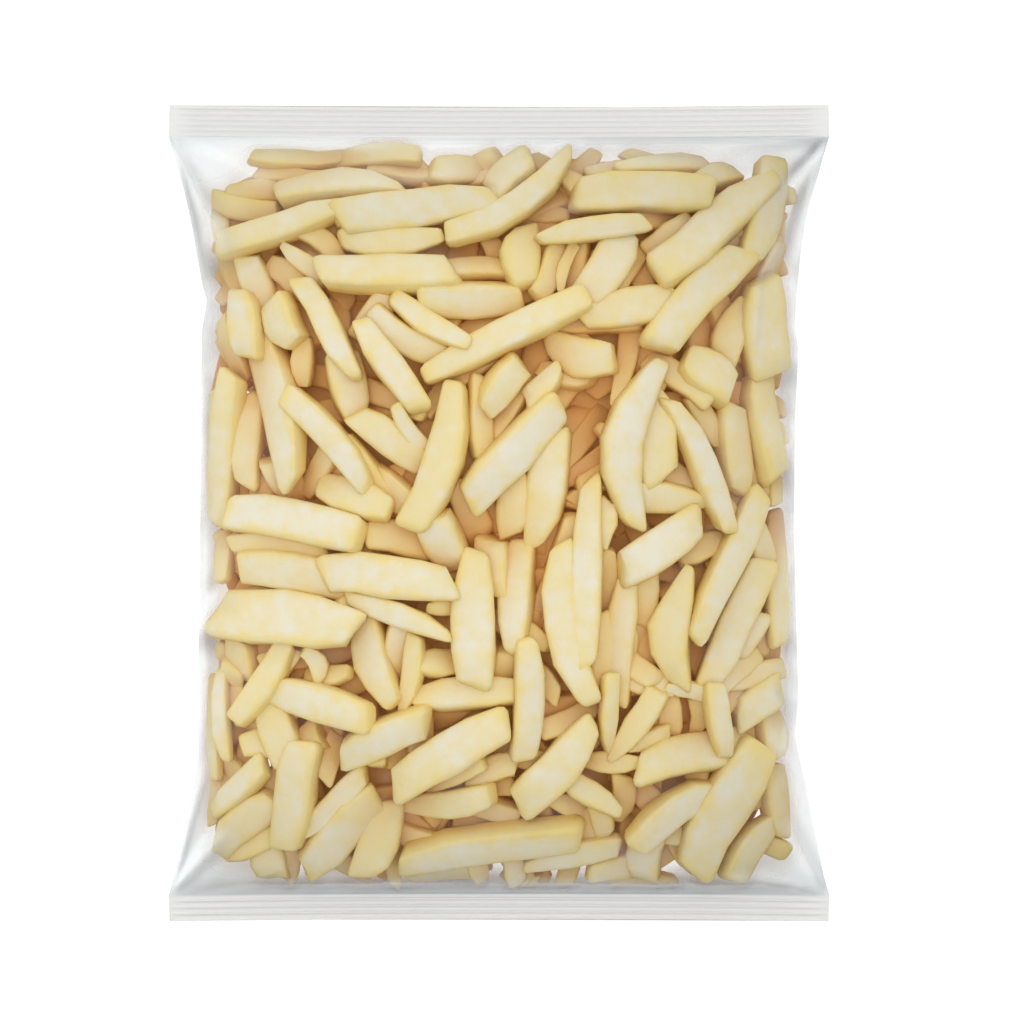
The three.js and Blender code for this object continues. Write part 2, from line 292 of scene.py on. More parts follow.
LOWER_FRIES = [
    fry((-102, -93), (-84, -94), 11, 1, tone=0.6),
    fry((-96, -101), (-115, -121), 9.5, 2, tips=(0.9, 0.5), tone=0.3),
    fry((-117, -106), (-119, -124), 6, 0, tone=0.6),
    fry((-116, -96), (-104, -112), 10, 0, tone=0.5),
    fry((-114, -98), (-110, -118), 9, 0),
    fry((-92, -114), (-116, -133), 13.5, 2, tone=0.3),
    fry((-90, -128), (-110, -137), 10, 1, tone=0.7),
    fry((-78, -92), (-86, -134), 15, 3, tips=(0.85, 0.75), tone=0.5),
    fry((-92, -77), (-84, -98), 14, 2, tone=0.8),
    fry((-77, -85), (-74, -97), 12, 1, tone=0.7),
    fry((-66, -89), (-70, -107), 8, 0, tone=1),
    fry((-62, -97), (-30, -83), 13, 3, tips=(0.8, 0.85), tone=0.2),
    fry((-54, -105), (-77, -129), 9.5, 2, tone=0.2),
    fry((-50, -113), (-78, -143), 16, 2, tone=0.3),
    fry((-42, -117), (-54, -146), 15, 2, tone=0.8),
    fry((-95, -131), (-88, -146), 14, 0, tone=0.3),
    fry((-82, -131), (-87, -146), 10, 0, tone=0.3),
    fry((-39, -139), (32, -128), 15, 3, bend=3, tips=(0.75, 0.85), tone=0.3),
    fry((-38, -142.5), (-8, -143), 9, 1, tone=0.3),
    fry((-37, -119), (-3, -114), 10.5, 2, bend=-1, tips=(0.5, 0.85), tone=0.8),
    fry((-42, -109.5), (2, -83), 16, 3, tips=(0.8, 0.8)),
    fry((-7, -101), (-28, -111), 7, 1, tone=1),
    fry((-33, -73), (7, -71), 12, 2, tips=(0.5, 0.7), tone=0.6),
    fry((12, -52), (10.5, -98), 11, 3, tips=(0.6, 0.85), tone=0.3),
    fry((38, -85), (9, -117), 15, 3, tips=(0.5, 0.9), tone=0.5),
    fry((-12, -107), (6, -101), 10, 1),
    fry((3, -56), (1, -73), 9, 0, tone=1),
    fry((18, -88), (40, -77), 9, 0),
    fry((27, -106), (48, -119), 9, 2, tips=(0.8, 0.4), tone=0.5),
    fry((20, -114), (40, -124), 8, 0),
    fry((33, -119), (38, -131), 10, 0),
    fry((40, -118), (43, -130), 8, 1, tone=0.3),
    fry((11, -142.5), (47, -133), 9.5, 2, tips=(0.4, 0.85), tone=0.3),
    fry((4, -136), (7, -147), 9, 1, tone=0),
    fry((-9, -138), (-7, -147), 8, 1, tone=0.9),
    fry((2, -147), (15, -149), 5, 0),
    fry((37, -144), (64, -139), 10, 1, tone=0.3),
    fry((60, -130), (58, -146), 13, 2, tone=0.2),
    fry((45, -149), (70, -150), 5, 0, tone=0.8),
    fry((45, -66), (43, -99), 6.5, 2, tips=(0.9, 0.2), tone=0.6),
    fry((64, -72), (46, -99), 9.5, 2, tips=(0.95, 0.25), tone=0.9),
    fry((53, -94), (67, -88), 6, 1, tone=0.8),
    fry((68, -74), (69, -89), 9, 0, tone=0.8),
    fry((80, -74), (80, -89), 7, 0, tone=1),
    fry((86, -70), (91, -97), 9, 3, tips=(0.8, 0.6), tone=0.5),
    fry((56, -102), (98, -93), 14.5, 2, tips=(0.8, 0.9)),
    fry((108, -78), (111, -99), 12, 1, tone=0.2),
    fry((104, -93), (77, -143), 19, 3, tips=(0.75, 0.8)),
    fry((113, -101), (116, -129), 11, 1, tips=(0.8, 0.6), tone=0.6),
    fry((90, -108), (54, -131), 12.5, 3, bend=-5, tips=(0.6, 0.85)),
    fry((63, -129), (80, -129), 6.5, 1, tone=0.8),
    fry((76, -120), (88, -113), 6, 0, tone=1),
    fry((108, -124), (93, -148), 12, 1, tone=0.5),
    fry((36, -100), (56, -101), 8, 1, tone=0.9),
    fry((50, -106), (48, -122), 9, 0, tone=0.8),
]

SHOWN_FRIES = UPPER_FRIES + LEFT_FRIES + MIDDLE_FRIES + RIGHT_FRIES + LOWER_FRIES
print(len(SHOWN_FRIES), "fries placed from the photograph")

# %% [markdown]
# The camera looks straight down through a long lens, as the photograph does. Something high in
# the bag is nearer to the camera and looks further out than it is, so a place read from the
# photograph is drawn in towards the middle of the view, by its height above the seals. The
# fries could be nudged by eye instead, but one formula serves them all.

# %% Where the camera stands
VIEW_CENTRE = np.array([5.2, 0.4])  # the bag lies a little left of the middle of the photograph
VIEW_WIDTH = 411  # what the photograph spans on the plane of the seals
LENS, SENSOR = 120, 36
CAMERA_DISTANCE = VIEW_WIDTH * LENS / SENSOR


def true_place(point, height):
    """Where a point read from the photograph really is, at that height above the floor."""
    nearer = 1 - (height - SEAL_HEIGHT) / CAMERA_DISTANCE
    return VIEW_CENTRE + (np.asarray(point, float) - VIEW_CENTRE) * nearer


print(f"the camera is {CAMERA_DISTANCE:.0f} mm above the seals")

# %% [markdown]
# A full bag presses its contents against the film, so this heap is built from the shown side
# inwards. A physics simulation would take minutes and leave the fries elsewhere. A height map
# takes seconds: it keeps how far down the space under the film is taken. Each fry is pushed up
# against what lies over it, and comes to rest on the two lowest points on either side of its
# middle, like a plank held up by two hands. The map is then lowered to the fry's underside,
# less the little by which soft potato gives, and the next fry goes beneath it. The top layer
# lies against the film. Deeper fries sink into each other where a gap would look too empty.

# %% The height map of the heap
CELL = 1.5  # size of a cell of the map
MARGIN = 6
map_x = np.arange(-FLAT_WIDTH / 2 - MARGIN, FLAT_WIDTH / 2 + MARGIN, CELL)
map_y = np.arange(-BAG_LENGTH / 2 - MARGIN, BAG_LENGTH / 2 + MARGIN, CELL)
cell_x, cell_y = np.meshgrid(map_x, map_y, indexing="ij")
FILM_GAP = 1.6  # between the film and the nearest potato
under_film = upper_sheet(cell_x, cell_y) - FILM_GAP
ceiling = under_film.copy()
lowest = underside(cell_x, cell_y) + FILM_GAP
covered = np.zeros(cell_x.shape, bool)  # the cells that have a fry over them

STATIONS = np.linspace(-0.98, 0.98, 44)  # along a fry, as shares of its half length
ACROSS = np.linspace(-0.94, 0.94, 9)  # across it, as shares of its half width
SOFT_CORNER = np.array([0.86, 0.97, 1, 1, 1, 1, 1, 0.97, 0.86])  # its thickness there, as a share
STEEPEST, STEEPEST_ROLL = 0.4, 0.8  # how far a fry may slope along itself and across
PRESSED_IN = 0.5  # how far the next fry is pressed in, as a share of this one's thickness
LAYER_DEPTH = {3: 0.0, 2: 1.0, 1: 3.5, 0: 6.0}  # least depth of each layer under the film
LAYER_LIMIT = {3: 4, 2: 7, 1: 9.5, 0: 12}  # how deep the top of one of its fries lies at most


def taper(reach, tip):
    """How wide a fry is, as a share of its width, at that share of its half length."""
    return 1 - (1 - tip) * reach ** (tip * 1.4 + 1.3)


def cells_over(piece):
    """Map cells over a fry: one row for each station, one column for each place across."""
    heading = np.array([math.cos(piece["turn"]), math.sin(piece["turn"])])
    side = np.array([-heading[1], heading[0]])
    s, a = np.meshgrid(STATIONS, ACROSS, indexing="ij")
    narrowed = taper(np.abs(s), np.where(s > 0, piece["tips"][1], piece["tips"][0]))
    sideways = a * narrowed * piece["width"] / 2 + piece["bend"] * (0.5 - s**2)
    places = piece["middle"] + s[..., None] * (piece["length"] / 2) * heading
    places = places + sideways[..., None] * side
    i = np.clip(np.round((places[..., 0] - map_x[0]) / CELL).astype(int), 0, len(map_x) - 1)
    j = np.clip(np.round((places[..., 1] - map_y[0]) / CELL).astype(int), 0, len(map_y) - 1)
    return i, j


def highest_line(limits, reach):
    """Height at the middle and slope of the highest straight line under all the limits."""
    half = len(reach) // 2
    back, front = reach[:half, None], reach[None, half:]
    low, high = limits[:half, None], limits[None, half:]
    level = (low * front - high * back) / (front - back)
    tilt = ((high - low) / (front - back)).ravel()[np.argmin(level)]
    slope = float(np.clip(tilt, -STEEPEST, STEEPEST))
    return float(np.min(limits - slope * reach)), slope


print("height map of", ceiling.shape, "cells")


# %% Pushing one fry up under the film
def film_slope_across(piece):
    """How steeply the film rises across the fry, at its middle."""
    x, y = piece["middle"]
    reach = 6  # to either side
    sx, sy = -math.sin(piece["turn"]) * reach, math.cos(piece["turn"]) * reach
    rise = float(upper_sheet(x + sx, y + sy) - upper_sheet(x - sx, y - sy))
    return float(np.clip(rise / (2 * reach), -STEEPEST_ROLL, STEEPEST_ROLL))


def push_up(piece, least_depth):
    """Finds the highest place that a fry can take. Keeps how far it would be out of the bag."""
    i, j = cells_over(piece)
    reach = STATIONS * piece["length"] / 2
    roll = film_slope_across(piece) + piece["own_roll"]
    tilted = roll * ACROSS * piece["width"] / 2
    limits = np.minimum(ceiling[i, j], under_film[i, j] - least_depth)
    limits = (limits - tilted - piece["depth"] * SOFT_CORNER).min(axis=1)
    level, slope = highest_line(limits, reach)
    bottoms = (level + slope * reach)[:, None] + tilted
    piece["level"], piece["slope"], piece["roll"] = level + piece["depth"] / 2, slope, roll
    piece["out_of_bag"] = float((lowest[i, j] - bottoms).max())
    piece["cells"], piece["bottoms"] = (i, j), bottoms


def raise_to(piece, deepest):
    """Presses a fry in between the ones over it, so that its top is no deeper than that."""
    sunk = under_the_film(piece) - piece["depth"] / 2 - deepest
    lift = max(piece["out_of_bag"], sunk, 0)
    piece["level"] += lift
    piece["bottoms"] += lift


def settle(piece):
    """Lowers the map to the underside of a fry that stays."""
    pressed = piece["bottoms"] + piece["depth"] * (1 - SOFT_CORNER + PRESSED_IN)
    np.minimum.at(ceiling, piece["cells"], pressed)
    covered[piece["cells"]] = True
    pieces.append(piece)


def under_the_film(piece):
    """How far the middle of a fry lies under the film."""
    return float(upper_sheet(*piece["middle"])) - piece["level"]


THICKNESS, THINNEST, THICKEST = (0.6, 0.8), 5, 10  # as shares of the width, and in mm


def shape_of(start, end, width, bend, tips, tone, roll_range):
    """The numbers that a fry is made from, in its own frame."""
    run = np.asarray(end, float) - np.asarray(start, float)
    return dict(
        middle=(np.asarray(start, float) + np.asarray(end, float)) / 2,
        turn=math.atan2(run[1], run[0]),
        length=float(np.hypot(*run)),
        width=width,
        depth=float(np.clip(width * random.uniform(*THICKNESS), THINNEST, THICKEST)),
        bend=bend,
        tips=tips,
        tone=tone,
        own_roll=random.uniform(-roll_range, roll_range),
    )


def keep_inside(piece):
    """Moves a fry inwards until it is clear of the sides and the seals."""
    cos, sin = abs(math.cos(piece["turn"])), abs(math.sin(piece["turn"]))
    reach_x = (piece["length"] * cos + piece["width"] * sin) / 2
    reach_y = (piece["length"] * sin + piece["width"] * cos) / 2
    x, y = piece["middle"]
    y = np.clip(y, BODY_BOTTOM + END_GAP + reach_y, BODY_TOP - END_GAP - reach_y)
    spans = np.linspace(y - reach_y, y + reach_y, 5)
    room = float((half_width(spans) + np.minimum(pucker(spans, x), 0)).min())
    limit = room - SIDE_GAP - reach_x
    if limit > 0:
        x = np.clip(x, -limit, limit)
    piece["middle"] = np.array([x, y])


print("fries can be pushed up")

# %% Placing the fries that show, from the top layer down
random = np.random.default_rng(7)
SIDE_GAP, END_GAP = 3.0, 3.0  # how far the fries keep from the sides and the seals
WIDER, LONGER = 1.09, 3  # the soft corners hide a little of each fry's width and length
TOP_ROLL, OWN_ROLL, OWN_BEND = 0.35, 0.5, 2.2  # how far fries roll and bend by chance
pieces = []
for layer in sorted(LAYER_DEPTH, reverse=True):
    for row in [r for r in SHOWN_FRIES if r["layer"] == layer]:
        middle = (np.asarray(row["start"], float) + np.asarray(row["end"], float)) / 2
        height = float(upper_sheet(*middle)) - LAYER_DEPTH[layer] - row["width"] / 2
        start, end = true_place(row["start"], height), true_place(row["end"], height)
        roll_range = TOP_ROLL if layer == 3 else OWN_ROLL
        width = row["width"] * WIDER
        tips = row["tips"]
        if tips == PLAIN_TIPS:
            tips = tuple(random.uniform(0.45, 0.95, 2))
        bend = row["bend"] or random.uniform(-OWN_BEND, OWN_BEND)
        piece = shape_of(start, end, width, bend, tips, row["tone"], roll_range)
        piece["length"] += LONGER
        keep_inside(piece)
        push_up(piece, LAYER_DEPTH[layer])
        raise_to(piece, LAYER_LIMIT[layer])
        piece["near"] = True
        settle(piece)
print(len(pieces), "fries placed where the photograph shows them")

# %% [markdown]
# Between those fries the photograph shows bits of many more, too little of each to place it.
# They are found by trial: a place that nothing covers yet is picked, sixteen fries are tried
# there, and the one that comes to lie nearest to the film stays. The deep gaps that the
# photograph does show are kept open. They could all be placed by hand as well, but nobody
# would know them apart.

# %% Fries at random, and where they are needed
ANY_WAY, ALONG_THE_SIDE = (0, math.pi), (0.36 * math.pi, 0.64 * math.pi)
GAP_FRY = dict(lengths=(22, 60), widths=(9, 14), roll_range=0.4)  # what each kind is drawn from
FILL_FRY = dict(lengths=(26, 76), widths=(10, 15), roll_range=0.3)
HOLE_FRY = dict(lengths=(24, 44), widths=(9, 12), roll_range=0.3)
CLEAR_OF_SIDE, CLEAR_OF_SEAL = 6, 9
CLEAR_CORNERS = [  # no fry shows there: the lower left and upper right corner of each
    ((-140, 108), (-112, 150)), ((-140, -160), (-116, -134)), ((104, -160), (140, -124)),
    ((-140, 136), (-98, 160)), ((85, 141), (112, 160)),
]


def random_fry(x, y, lengths, widths, roll_range, turns=ANY_WAY):
    turn, length = random.uniform(*turns), random.uniform(*lengths)
    step = np.array([math.cos(turn), math.sin(turn)]) * length / 2
    width, tone, bend = random.uniform(*widths), random.uniform(0, 1), random.uniform(-3, 3)
    tips = tuple(random.uniform(0.4, 0.95, 2))
    middle = np.array([x, y]) + step * random.uniform(-0.8, 0.8)
    return shape_of(middle - step, middle + step, width, bend, tips, tone, roll_range)


def well_inside():
    """The cells that are clear of the sides, the seals and the corners that show empty."""
    inside = np.abs(cell_x) < half_width(cell_y) - CLEAR_OF_SIDE
    inside &= (cell_y < BODY_TOP - CLEAR_OF_SEAL) & (cell_y > BODY_BOTTOM + CLEAR_OF_SEAL)
    for (x0, y0), (x1, y1) in CLEAR_CORNERS:
        inside &= ~((cell_x > x0) & (cell_x < x1) & (cell_y > y0) & (cell_y < y1))
    return inside


def still_open(depth):
    """The cells well inside the bag that no fry covers down to that depth."""
    return np.argwhere(well_inside() & (ceiling > under_film - depth))


print(int(well_inside().sum()), "cells well inside the bag")

# %% Closing the gaps between the fries that show
DARK_GAPS = [  # the photograph shows a deep gap here, so nothing is laid across it
    (-75, 124), (-13, 105), (-62, 80), (-85, 63), (-73, 58), (-36, 54), (31, 40), (-53, 28),
    (60, -2), (-110, -27), (-46, -44), (-25, -51), (-68, -58), (76, -60), (-46, -80), (74, -85),
    (-70, -112),
]
GAP_RADIUS, GAP_FLOOR = 3.6, 17  # how wide such a gap is, and how deep
for place in DARK_GAPS:
    x, y = true_place(place, SEAL_HEIGHT + CROWN - GAP_FLOOR / 2)
    inside_gap = np.hypot(cell_x - x, cell_y - y) < GAP_RADIUS
    ceiling[inside_gap] = np.minimum(ceiling, under_film - GAP_FLOOR)[inside_gap]

GAP_OPEN = 4.0  # a cell is open when nothing covers it down to here under the film
GAP_DEPTH, GAP_LIMIT, GAP_SUNK = 7.0, 16.0, 25.0  # how deep its fry lies: least, raised to, most
GAP_FRIES, GAP_TRIES, FEW_CELLS = 260, 16, 40
for gap in range(GAP_FRIES):
    cells = still_open(GAP_OPEN)
    if len(cells) < FEW_CELLS:
        break
    i, j = cells[random.integers(len(cells))]
    tried = []
    for attempt in range(GAP_TRIES):
        piece = random_fry(map_x[i], map_y[j], **GAP_FRY)
        keep_inside(piece)
        push_up(piece, GAP_DEPTH)
        if piece["out_of_bag"] < 0:
            tried.append(piece)
    best = min(tried, key=under_the_film, default=None)
    if best and under_the_film(best) < GAP_SUNK:
        raise_to(best, GAP_LIMIT)
        best["near"] = True
        settle(best)
    ceiling[i, j] = min(ceiling[i, j], under_film[i, j] - GAP_OPEN)
shown_count = len(pieces)
print(shown_count, "fries with the gaps closed,", len(still_open(GAP_OPEN)), "cells still open")

# %% [markdown]
# Beneath them lies the rest of the bag's contents, laid at random wherever there is still room
# above the underside. It shows through the gaps and through the back of the bag, so it can't
# be left out. Last come a few fries under the places where one could still look right through
# the heap. Near the sides those lie along the bag, which keeps the heap's edge smooth.

# %% Filling the rest of the bag
FILL_DEPTH, FILL_TRIES, FILL_EDGE = 14, 4000, 6
for attempt in range(FILL_TRIES):
    y = random.uniform(BODY_BOTTOM + FILL_EDGE, BODY_TOP - FILL_EDGE)
    x = random.uniform(-1, 1) * (float(half_width(y)) - FILL_EDGE)
    piece = random_fry(x, y, **FILL_FRY)
    keep_inside(piece)
    push_up(piece, FILL_DEPTH)
    if piece["out_of_bag"] < 0:
        piece["near"] = False
        settle(piece)
filled_count = len(pieces)
print(filled_count - shown_count, "more fries fill the bag")

# %% Closing the holes that go right through
HOLES, HOLE_DEPTH, DEEP_LIMIT = 200, 10, 30
SIDE_STRIP = 90  # further out than this, the fries lie along the bag
MOST_OUT = 1  # how far such a fry may first stand out of the bag, before it is pressed in
for hole in range(HOLES):
    cells = np.argwhere(well_inside() & ~covered)
    if len(cells) == 0:
        break
    i, j = cells[random.integers(len(cells))]
    turns = ALONG_THE_SIDE if abs(map_x[i]) > SIDE_STRIP else ANY_WAY
    for attempt in range(GAP_TRIES):
        piece = random_fry(map_x[i], map_y[j], turns=turns, **HOLE_FRY)
        keep_inside(piece)
        push_up(piece, HOLE_DEPTH)
        over = (piece["cells"][0] == i) & (piece["cells"][1] == j)
        if over.any() and piece["out_of_bag"] < MOST_OUT:
            raise_to(piece, DEEP_LIMIT)
            piece["near"] = False
            settle(piece)
            break
    covered[i, j] = True
print(len(pieces) - filled_count, "fries close its holes")

# %% [markdown]
# Between the fries nearest the film and the ones at the bottom, a bag is a maze of small dark
# gaps. Hundreds more fries could fill it, where no view reaches them. A plain core does it
# with a few faces: the same bag shrunk from all sides. It stops every ray that would pass right
# through the heap, and lies beneath the fries that show.

# %% The core of the heap
CORE_DEPTH = 21  # how far the core lies under the film
CORE_SIDE = 17  # how far it keeps from the sides and the seals
CORE_LIFT = 6  # how far it lies above the underside
CORE_RINGS, CORE_POINTS = 30, 32
CORE_CORNER, CORE_EDGE = 0.3, 0.5  # how rounded it is, seen from above and from its end


def tube_faces(rings, around):
    """The faces between rings of points, and one face to close each end."""
    faces = []
    for r in range(rings - 1):
        for k in range(around):
            a, b = r * around + k, r * around + (k + 1) % around
            faces.append((a, b, b + around, a + around))
    last = (rings - 1) * around
    faces.append(tuple(reversed(range(around))))
    faces.append(tuple(last + k for k in range(around)))
    return faces


def core_mesh():
    low_y, high_y = BODY_BOTTOM + CORE_SIDE, BODY_TOP - CORE_SIDE
    rings = []
    for t in np.linspace(0, math.pi, CORE_RINGS):
        y = (low_y + high_y) / 2 - math.cos(t) * (high_y - low_y) / 2
        turn = np.linspace(0, 2 * math.pi, CORE_POINTS, endpoint=False)
        x = np.cos(turn) * (half_width(y) - CORE_SIDE) * max(math.sin(t), 0.1) ** CORE_CORNER
        at = np.full_like(x, y)
        top = np.maximum(upper_sheet(x, at) - CORE_DEPTH, SEAL_HEIGHT)
        low = np.minimum(underside(x, at) + CORE_LIFT, SEAL_HEIGHT - 2)
        lift = np.sin(turn)
        z = (top + low) / 2 + np.sign(lift) * np.abs(lift) ** CORE_EDGE * (top - low) / 2
        rings.append(np.stack([x, at, z], axis=1))
    outward = [tuple(reversed(face)) for face in tube_faces(CORE_RINGS, CORE_POINTS)]
    mesh = bpy.data.meshes.new("heap_core")
    mesh.from_pydata((np.concatenate(rings) * MM).tolist(), [], outward)
    mesh.shade_smooth()
    return mesh


core = bpy.data.objects.new("heap_core", core_mesh())
bpy.context.scene.collection.objects.link(core)
print("core:", len(core.data.polygons), "faces")

# %% [markdown]
# Node trees can be wired up link by link, but they are easier to read as formulas. One small
# class wraps a socket, so that a sum or a product of two of them adds its Math node, and one
# method makes any other node.


# %% Node maths as Python expressions
def as_input(socket, value):
    """Links a value to a socket, or sets it as a plain number."""
    if isinstance(value, Value):
        socket.id_data.links.new(value.socket, socket)
    else:
        socket.default_value = value


class Value:
    """The output of a node, with the operators that the formulas use."""

    def __init__(self, net, socket):
        self.net, self.socket = net, socket

    def _math(self, operation, first, second=0.0):
        return self.net.node("ShaderNodeMath", {"operation": operation}, {0: first, 1: second})

    def __add__(self, other):
        return self._math("ADD", self, other)

    __radd__ = __add__

    def __sub__(self, other):
        return self._math("SUBTRACT", self, other)

    def __rsub__(self, other):
        return self._math("SUBTRACT", other, self)

    def __mul__(self, other):
        return self._math("MULTIPLY", self, other)

    __rmul__ = __mul__

    def __pow__(self, other):
        return self._math("POWER", self, other)

    def size(self):
        return self._math("ABSOLUTE", self)

    def largest(self, other):
        return self._math("MAXIMUM", self, other)

    def above(self, level):
        return self._math("GREATER_THAN", self, level)

    def between(self, low, high):
        """0 below low and 1 above high, and smooth from one to the other."""
        return self.net.node(
            "ShaderNodeMapRange",
            {"interpolation_type": "SMOOTHSTEP"},
            {"Value": self, "From Min": low, "From Max": high, "To Min": 0.0, "To Max": 1.0},
        )


class Net:
    """A node tree that is being built."""

    def __init__(self, tree):
        self.tree = tree

    def node(self, kind, settings=None, inputs=None, out=0):
        """Adds a node: its settings first, then the values or links of its sockets."""
        made = self.tree.nodes.new(kind)
        for name, value in (settings or {}).items():
            setattr(made, name, value)
        for key, value in (inputs or {}).items():
            sockets = [s for s in made.inputs if s.enabled and s.name == key]
            as_input(sockets[0] if sockets else made.inputs[key], value)
        outputs = [s for s in made.outputs if s.enabled]
        named = [s for s in outputs if s.name == out]
        return Value(self, named[0] if named else outputs[out])

    def mix(self, kind, amount, a, b):
        """A blend of two colours, vectors or numbers."""
        return self.node("ShaderNodeMix", {"data_type": kind}, {"Factor": amount, "A": a, "B": b})

    def parts(self, vector):
        """The X, Y and Z of a vector."""
        split = self.tree.nodes.new("ShaderNodeSeparateXYZ")
        self.tree.links.new(vector.socket, split.inputs[0])
        return [Value(self, out) for out in split.outputs]

    def attribute(self, name, kind="FLOAT"):
        return self.node("GeometryNodeInputNamedAttribute", {"data_type": kind}, {"Name": name})

    def vector(self, x, y, z):
        return self.node("ShaderNodeCombineXYZ", None, {"X": x, "Y": y, "Z": z})


print("node helpers ready")

# %% [markdown]
# A fry is a square stick cut from a potato, with a few knocks at its corners and ends. Each
# could be modelled by hand, but they differ in only a dozen numbers, so one stick stands for
# all of them. Each of its points keeps its place along the stick and round it, and a Geometry
# Nodes tree gives every copy its own length, width, taper, bend and slanted ends. A plainer
# stick, with a third of the faces, is used for the fries that lie deep in the bag.

# %% Two plain sticks
CORNER = 0.3  # how far the soft corner reaches along each side, as a share of the half width
NEAR_STATIONS = [-1, -0.975, -0.91, -0.45, 0, 0.45, 0.91, 0.975, 1]
DEEP_STATIONS = [-1, -0.9, 0, 0.9, 1]
END_ROUNDING = {1: 0.55, 0.975: 0.83, 0.91: 0.97}  # the section's share left, near to an end


def square_section(per_corner):
    """Points of a square with soft corners, from -1 to 1 each way."""
    points = []
    for quarter in range(4):
        diagonal = math.pi / 2 * (quarter + 0.5)
        cx = math.copysign(1 - CORNER, math.cos(diagonal))
        cy = math.copysign(1 - CORNER, math.sin(diagonal))
        for k in range(per_corner):
            angle = math.pi / 2 * (quarter + k / (per_corner - 1))
            points.append((cx + CORNER * math.cos(angle), cy + CORNER * math.sin(angle)))
    return points


def plain_stick(name, stations, per_corner):
    section = square_section(per_corner)
    rows = []
    for place in stations:
        scale = END_ROUNDING.get(abs(place), 1)
        rows += [(place, a * scale, b * scale) for a, b in section]
    mesh = bpy.data.meshes.new(name)
    mesh.from_pydata(rows, [], tube_faces(len(stations), len(section)))
    place = mesh.attributes.new("place", "FLOAT_VECTOR", "POINT")
    place.data.foreach_set("vector", np.array(rows, np.float32).ravel())
    return bpy.data.objects.new(name, mesh)


near_stick = plain_stick("near_stick", NEAR_STATIONS, 3)
deep_stick = plain_stick("deep_stick", DEEP_STATIONS, 2)
for stick in (near_stick, deep_stick):
    print(stick.name, len(stick.data.polygons), "faces")


# %% The points that the sticks are put on
def turned(piece):
    """The rotation that lays the stick along its heading, with its slope and its roll."""
    cos, sin = math.cos(piece["turn"]), math.sin(piece["turn"])
    heading = Vector((cos, sin, piece["slope"])).normalized()
    side = Vector((-sin, cos, piece["roll"]))
    up = heading.cross(side).normalized()
    return Matrix((heading, up.cross(heading), up)).transposed().to_euler()


def add_attribute(mesh, name, kind, values):
    layer = mesh.attributes.new(name, kind, "POINT")
    field = "vector" if kind == "FLOAT_VECTOR" else "value"
    dtype = np.int32 if kind == "INT" else np.float32
    layer.data.foreach_set(field, np.asarray(values, dtype).ravel())


SHAPE_NUMBERS = ["bend", "first_tip", "last_tip", "slant", "lean", "wander", "skew", "seed"]
BY_CHANCE = {"slant": 0.7, "lean": 0.4, "wander": 0.05, "skew": 0.9}  # drawn from -most to most


def fry_points():
    places = np.array([(*p["middle"], p["level"]) for p in pieces]) * MM
    mesh = bpy.data.meshes.new("fries")
    mesh.from_pydata(places.tolist(), [], [])
    count = len(pieces)
    add_attribute(mesh, "centre", "FLOAT_VECTOR", places)
    add_attribute(mesh, "rotation", "FLOAT_VECTOR", [turned(p) for p in pieces])
    sizes = [(p["length"] * math.hypot(1, p["slope"]), p["width"], p["depth"]) for p in pieces]
    add_attribute(mesh, "measure", "FLOAT_VECTOR", np.array(sizes) * MM)
    add_attribute(mesh, "bend", "FLOAT", [p["bend"] * MM for p in pieces])
    add_attribute(mesh, "first_tip", "FLOAT", [p["tips"][0] for p in pieces])
    add_attribute(mesh, "last_tip", "FLOAT", [p["tips"][1] for p in pieces])
    add_attribute(mesh, "tone", "FLOAT", [p["tone"] for p in pieces])
    for name, most in BY_CHANCE.items():
        add_attribute(mesh, name, "FLOAT", random.uniform(-most, most, count))
    add_attribute(mesh, "seed", "FLOAT", random.uniform(0, 1, count))
    add_attribute(mesh, "kind", "INT", [0 if p["near"] else 1 for p in pieces])
    return bpy.data.objects.new("fries", mesh)


fries = fry_points()
bpy.context.scene.collection.objects.link(fries)
print(len(fries.data.vertices), "points for the fries")

# %% [markdown]
# A fry is straight-sided between its ends and tapers towards them, its middle line is a
# shallow arc, its cut ends slant both ways, and its cut faces are never quite flat. Modifiers
# could bend and taper each stick, but then each needs its own. One tree does it for all: it
# puts a stick on every point, makes the copies real, moves each of their points to its place
# by the fry's own numbers, and adds a little noise.


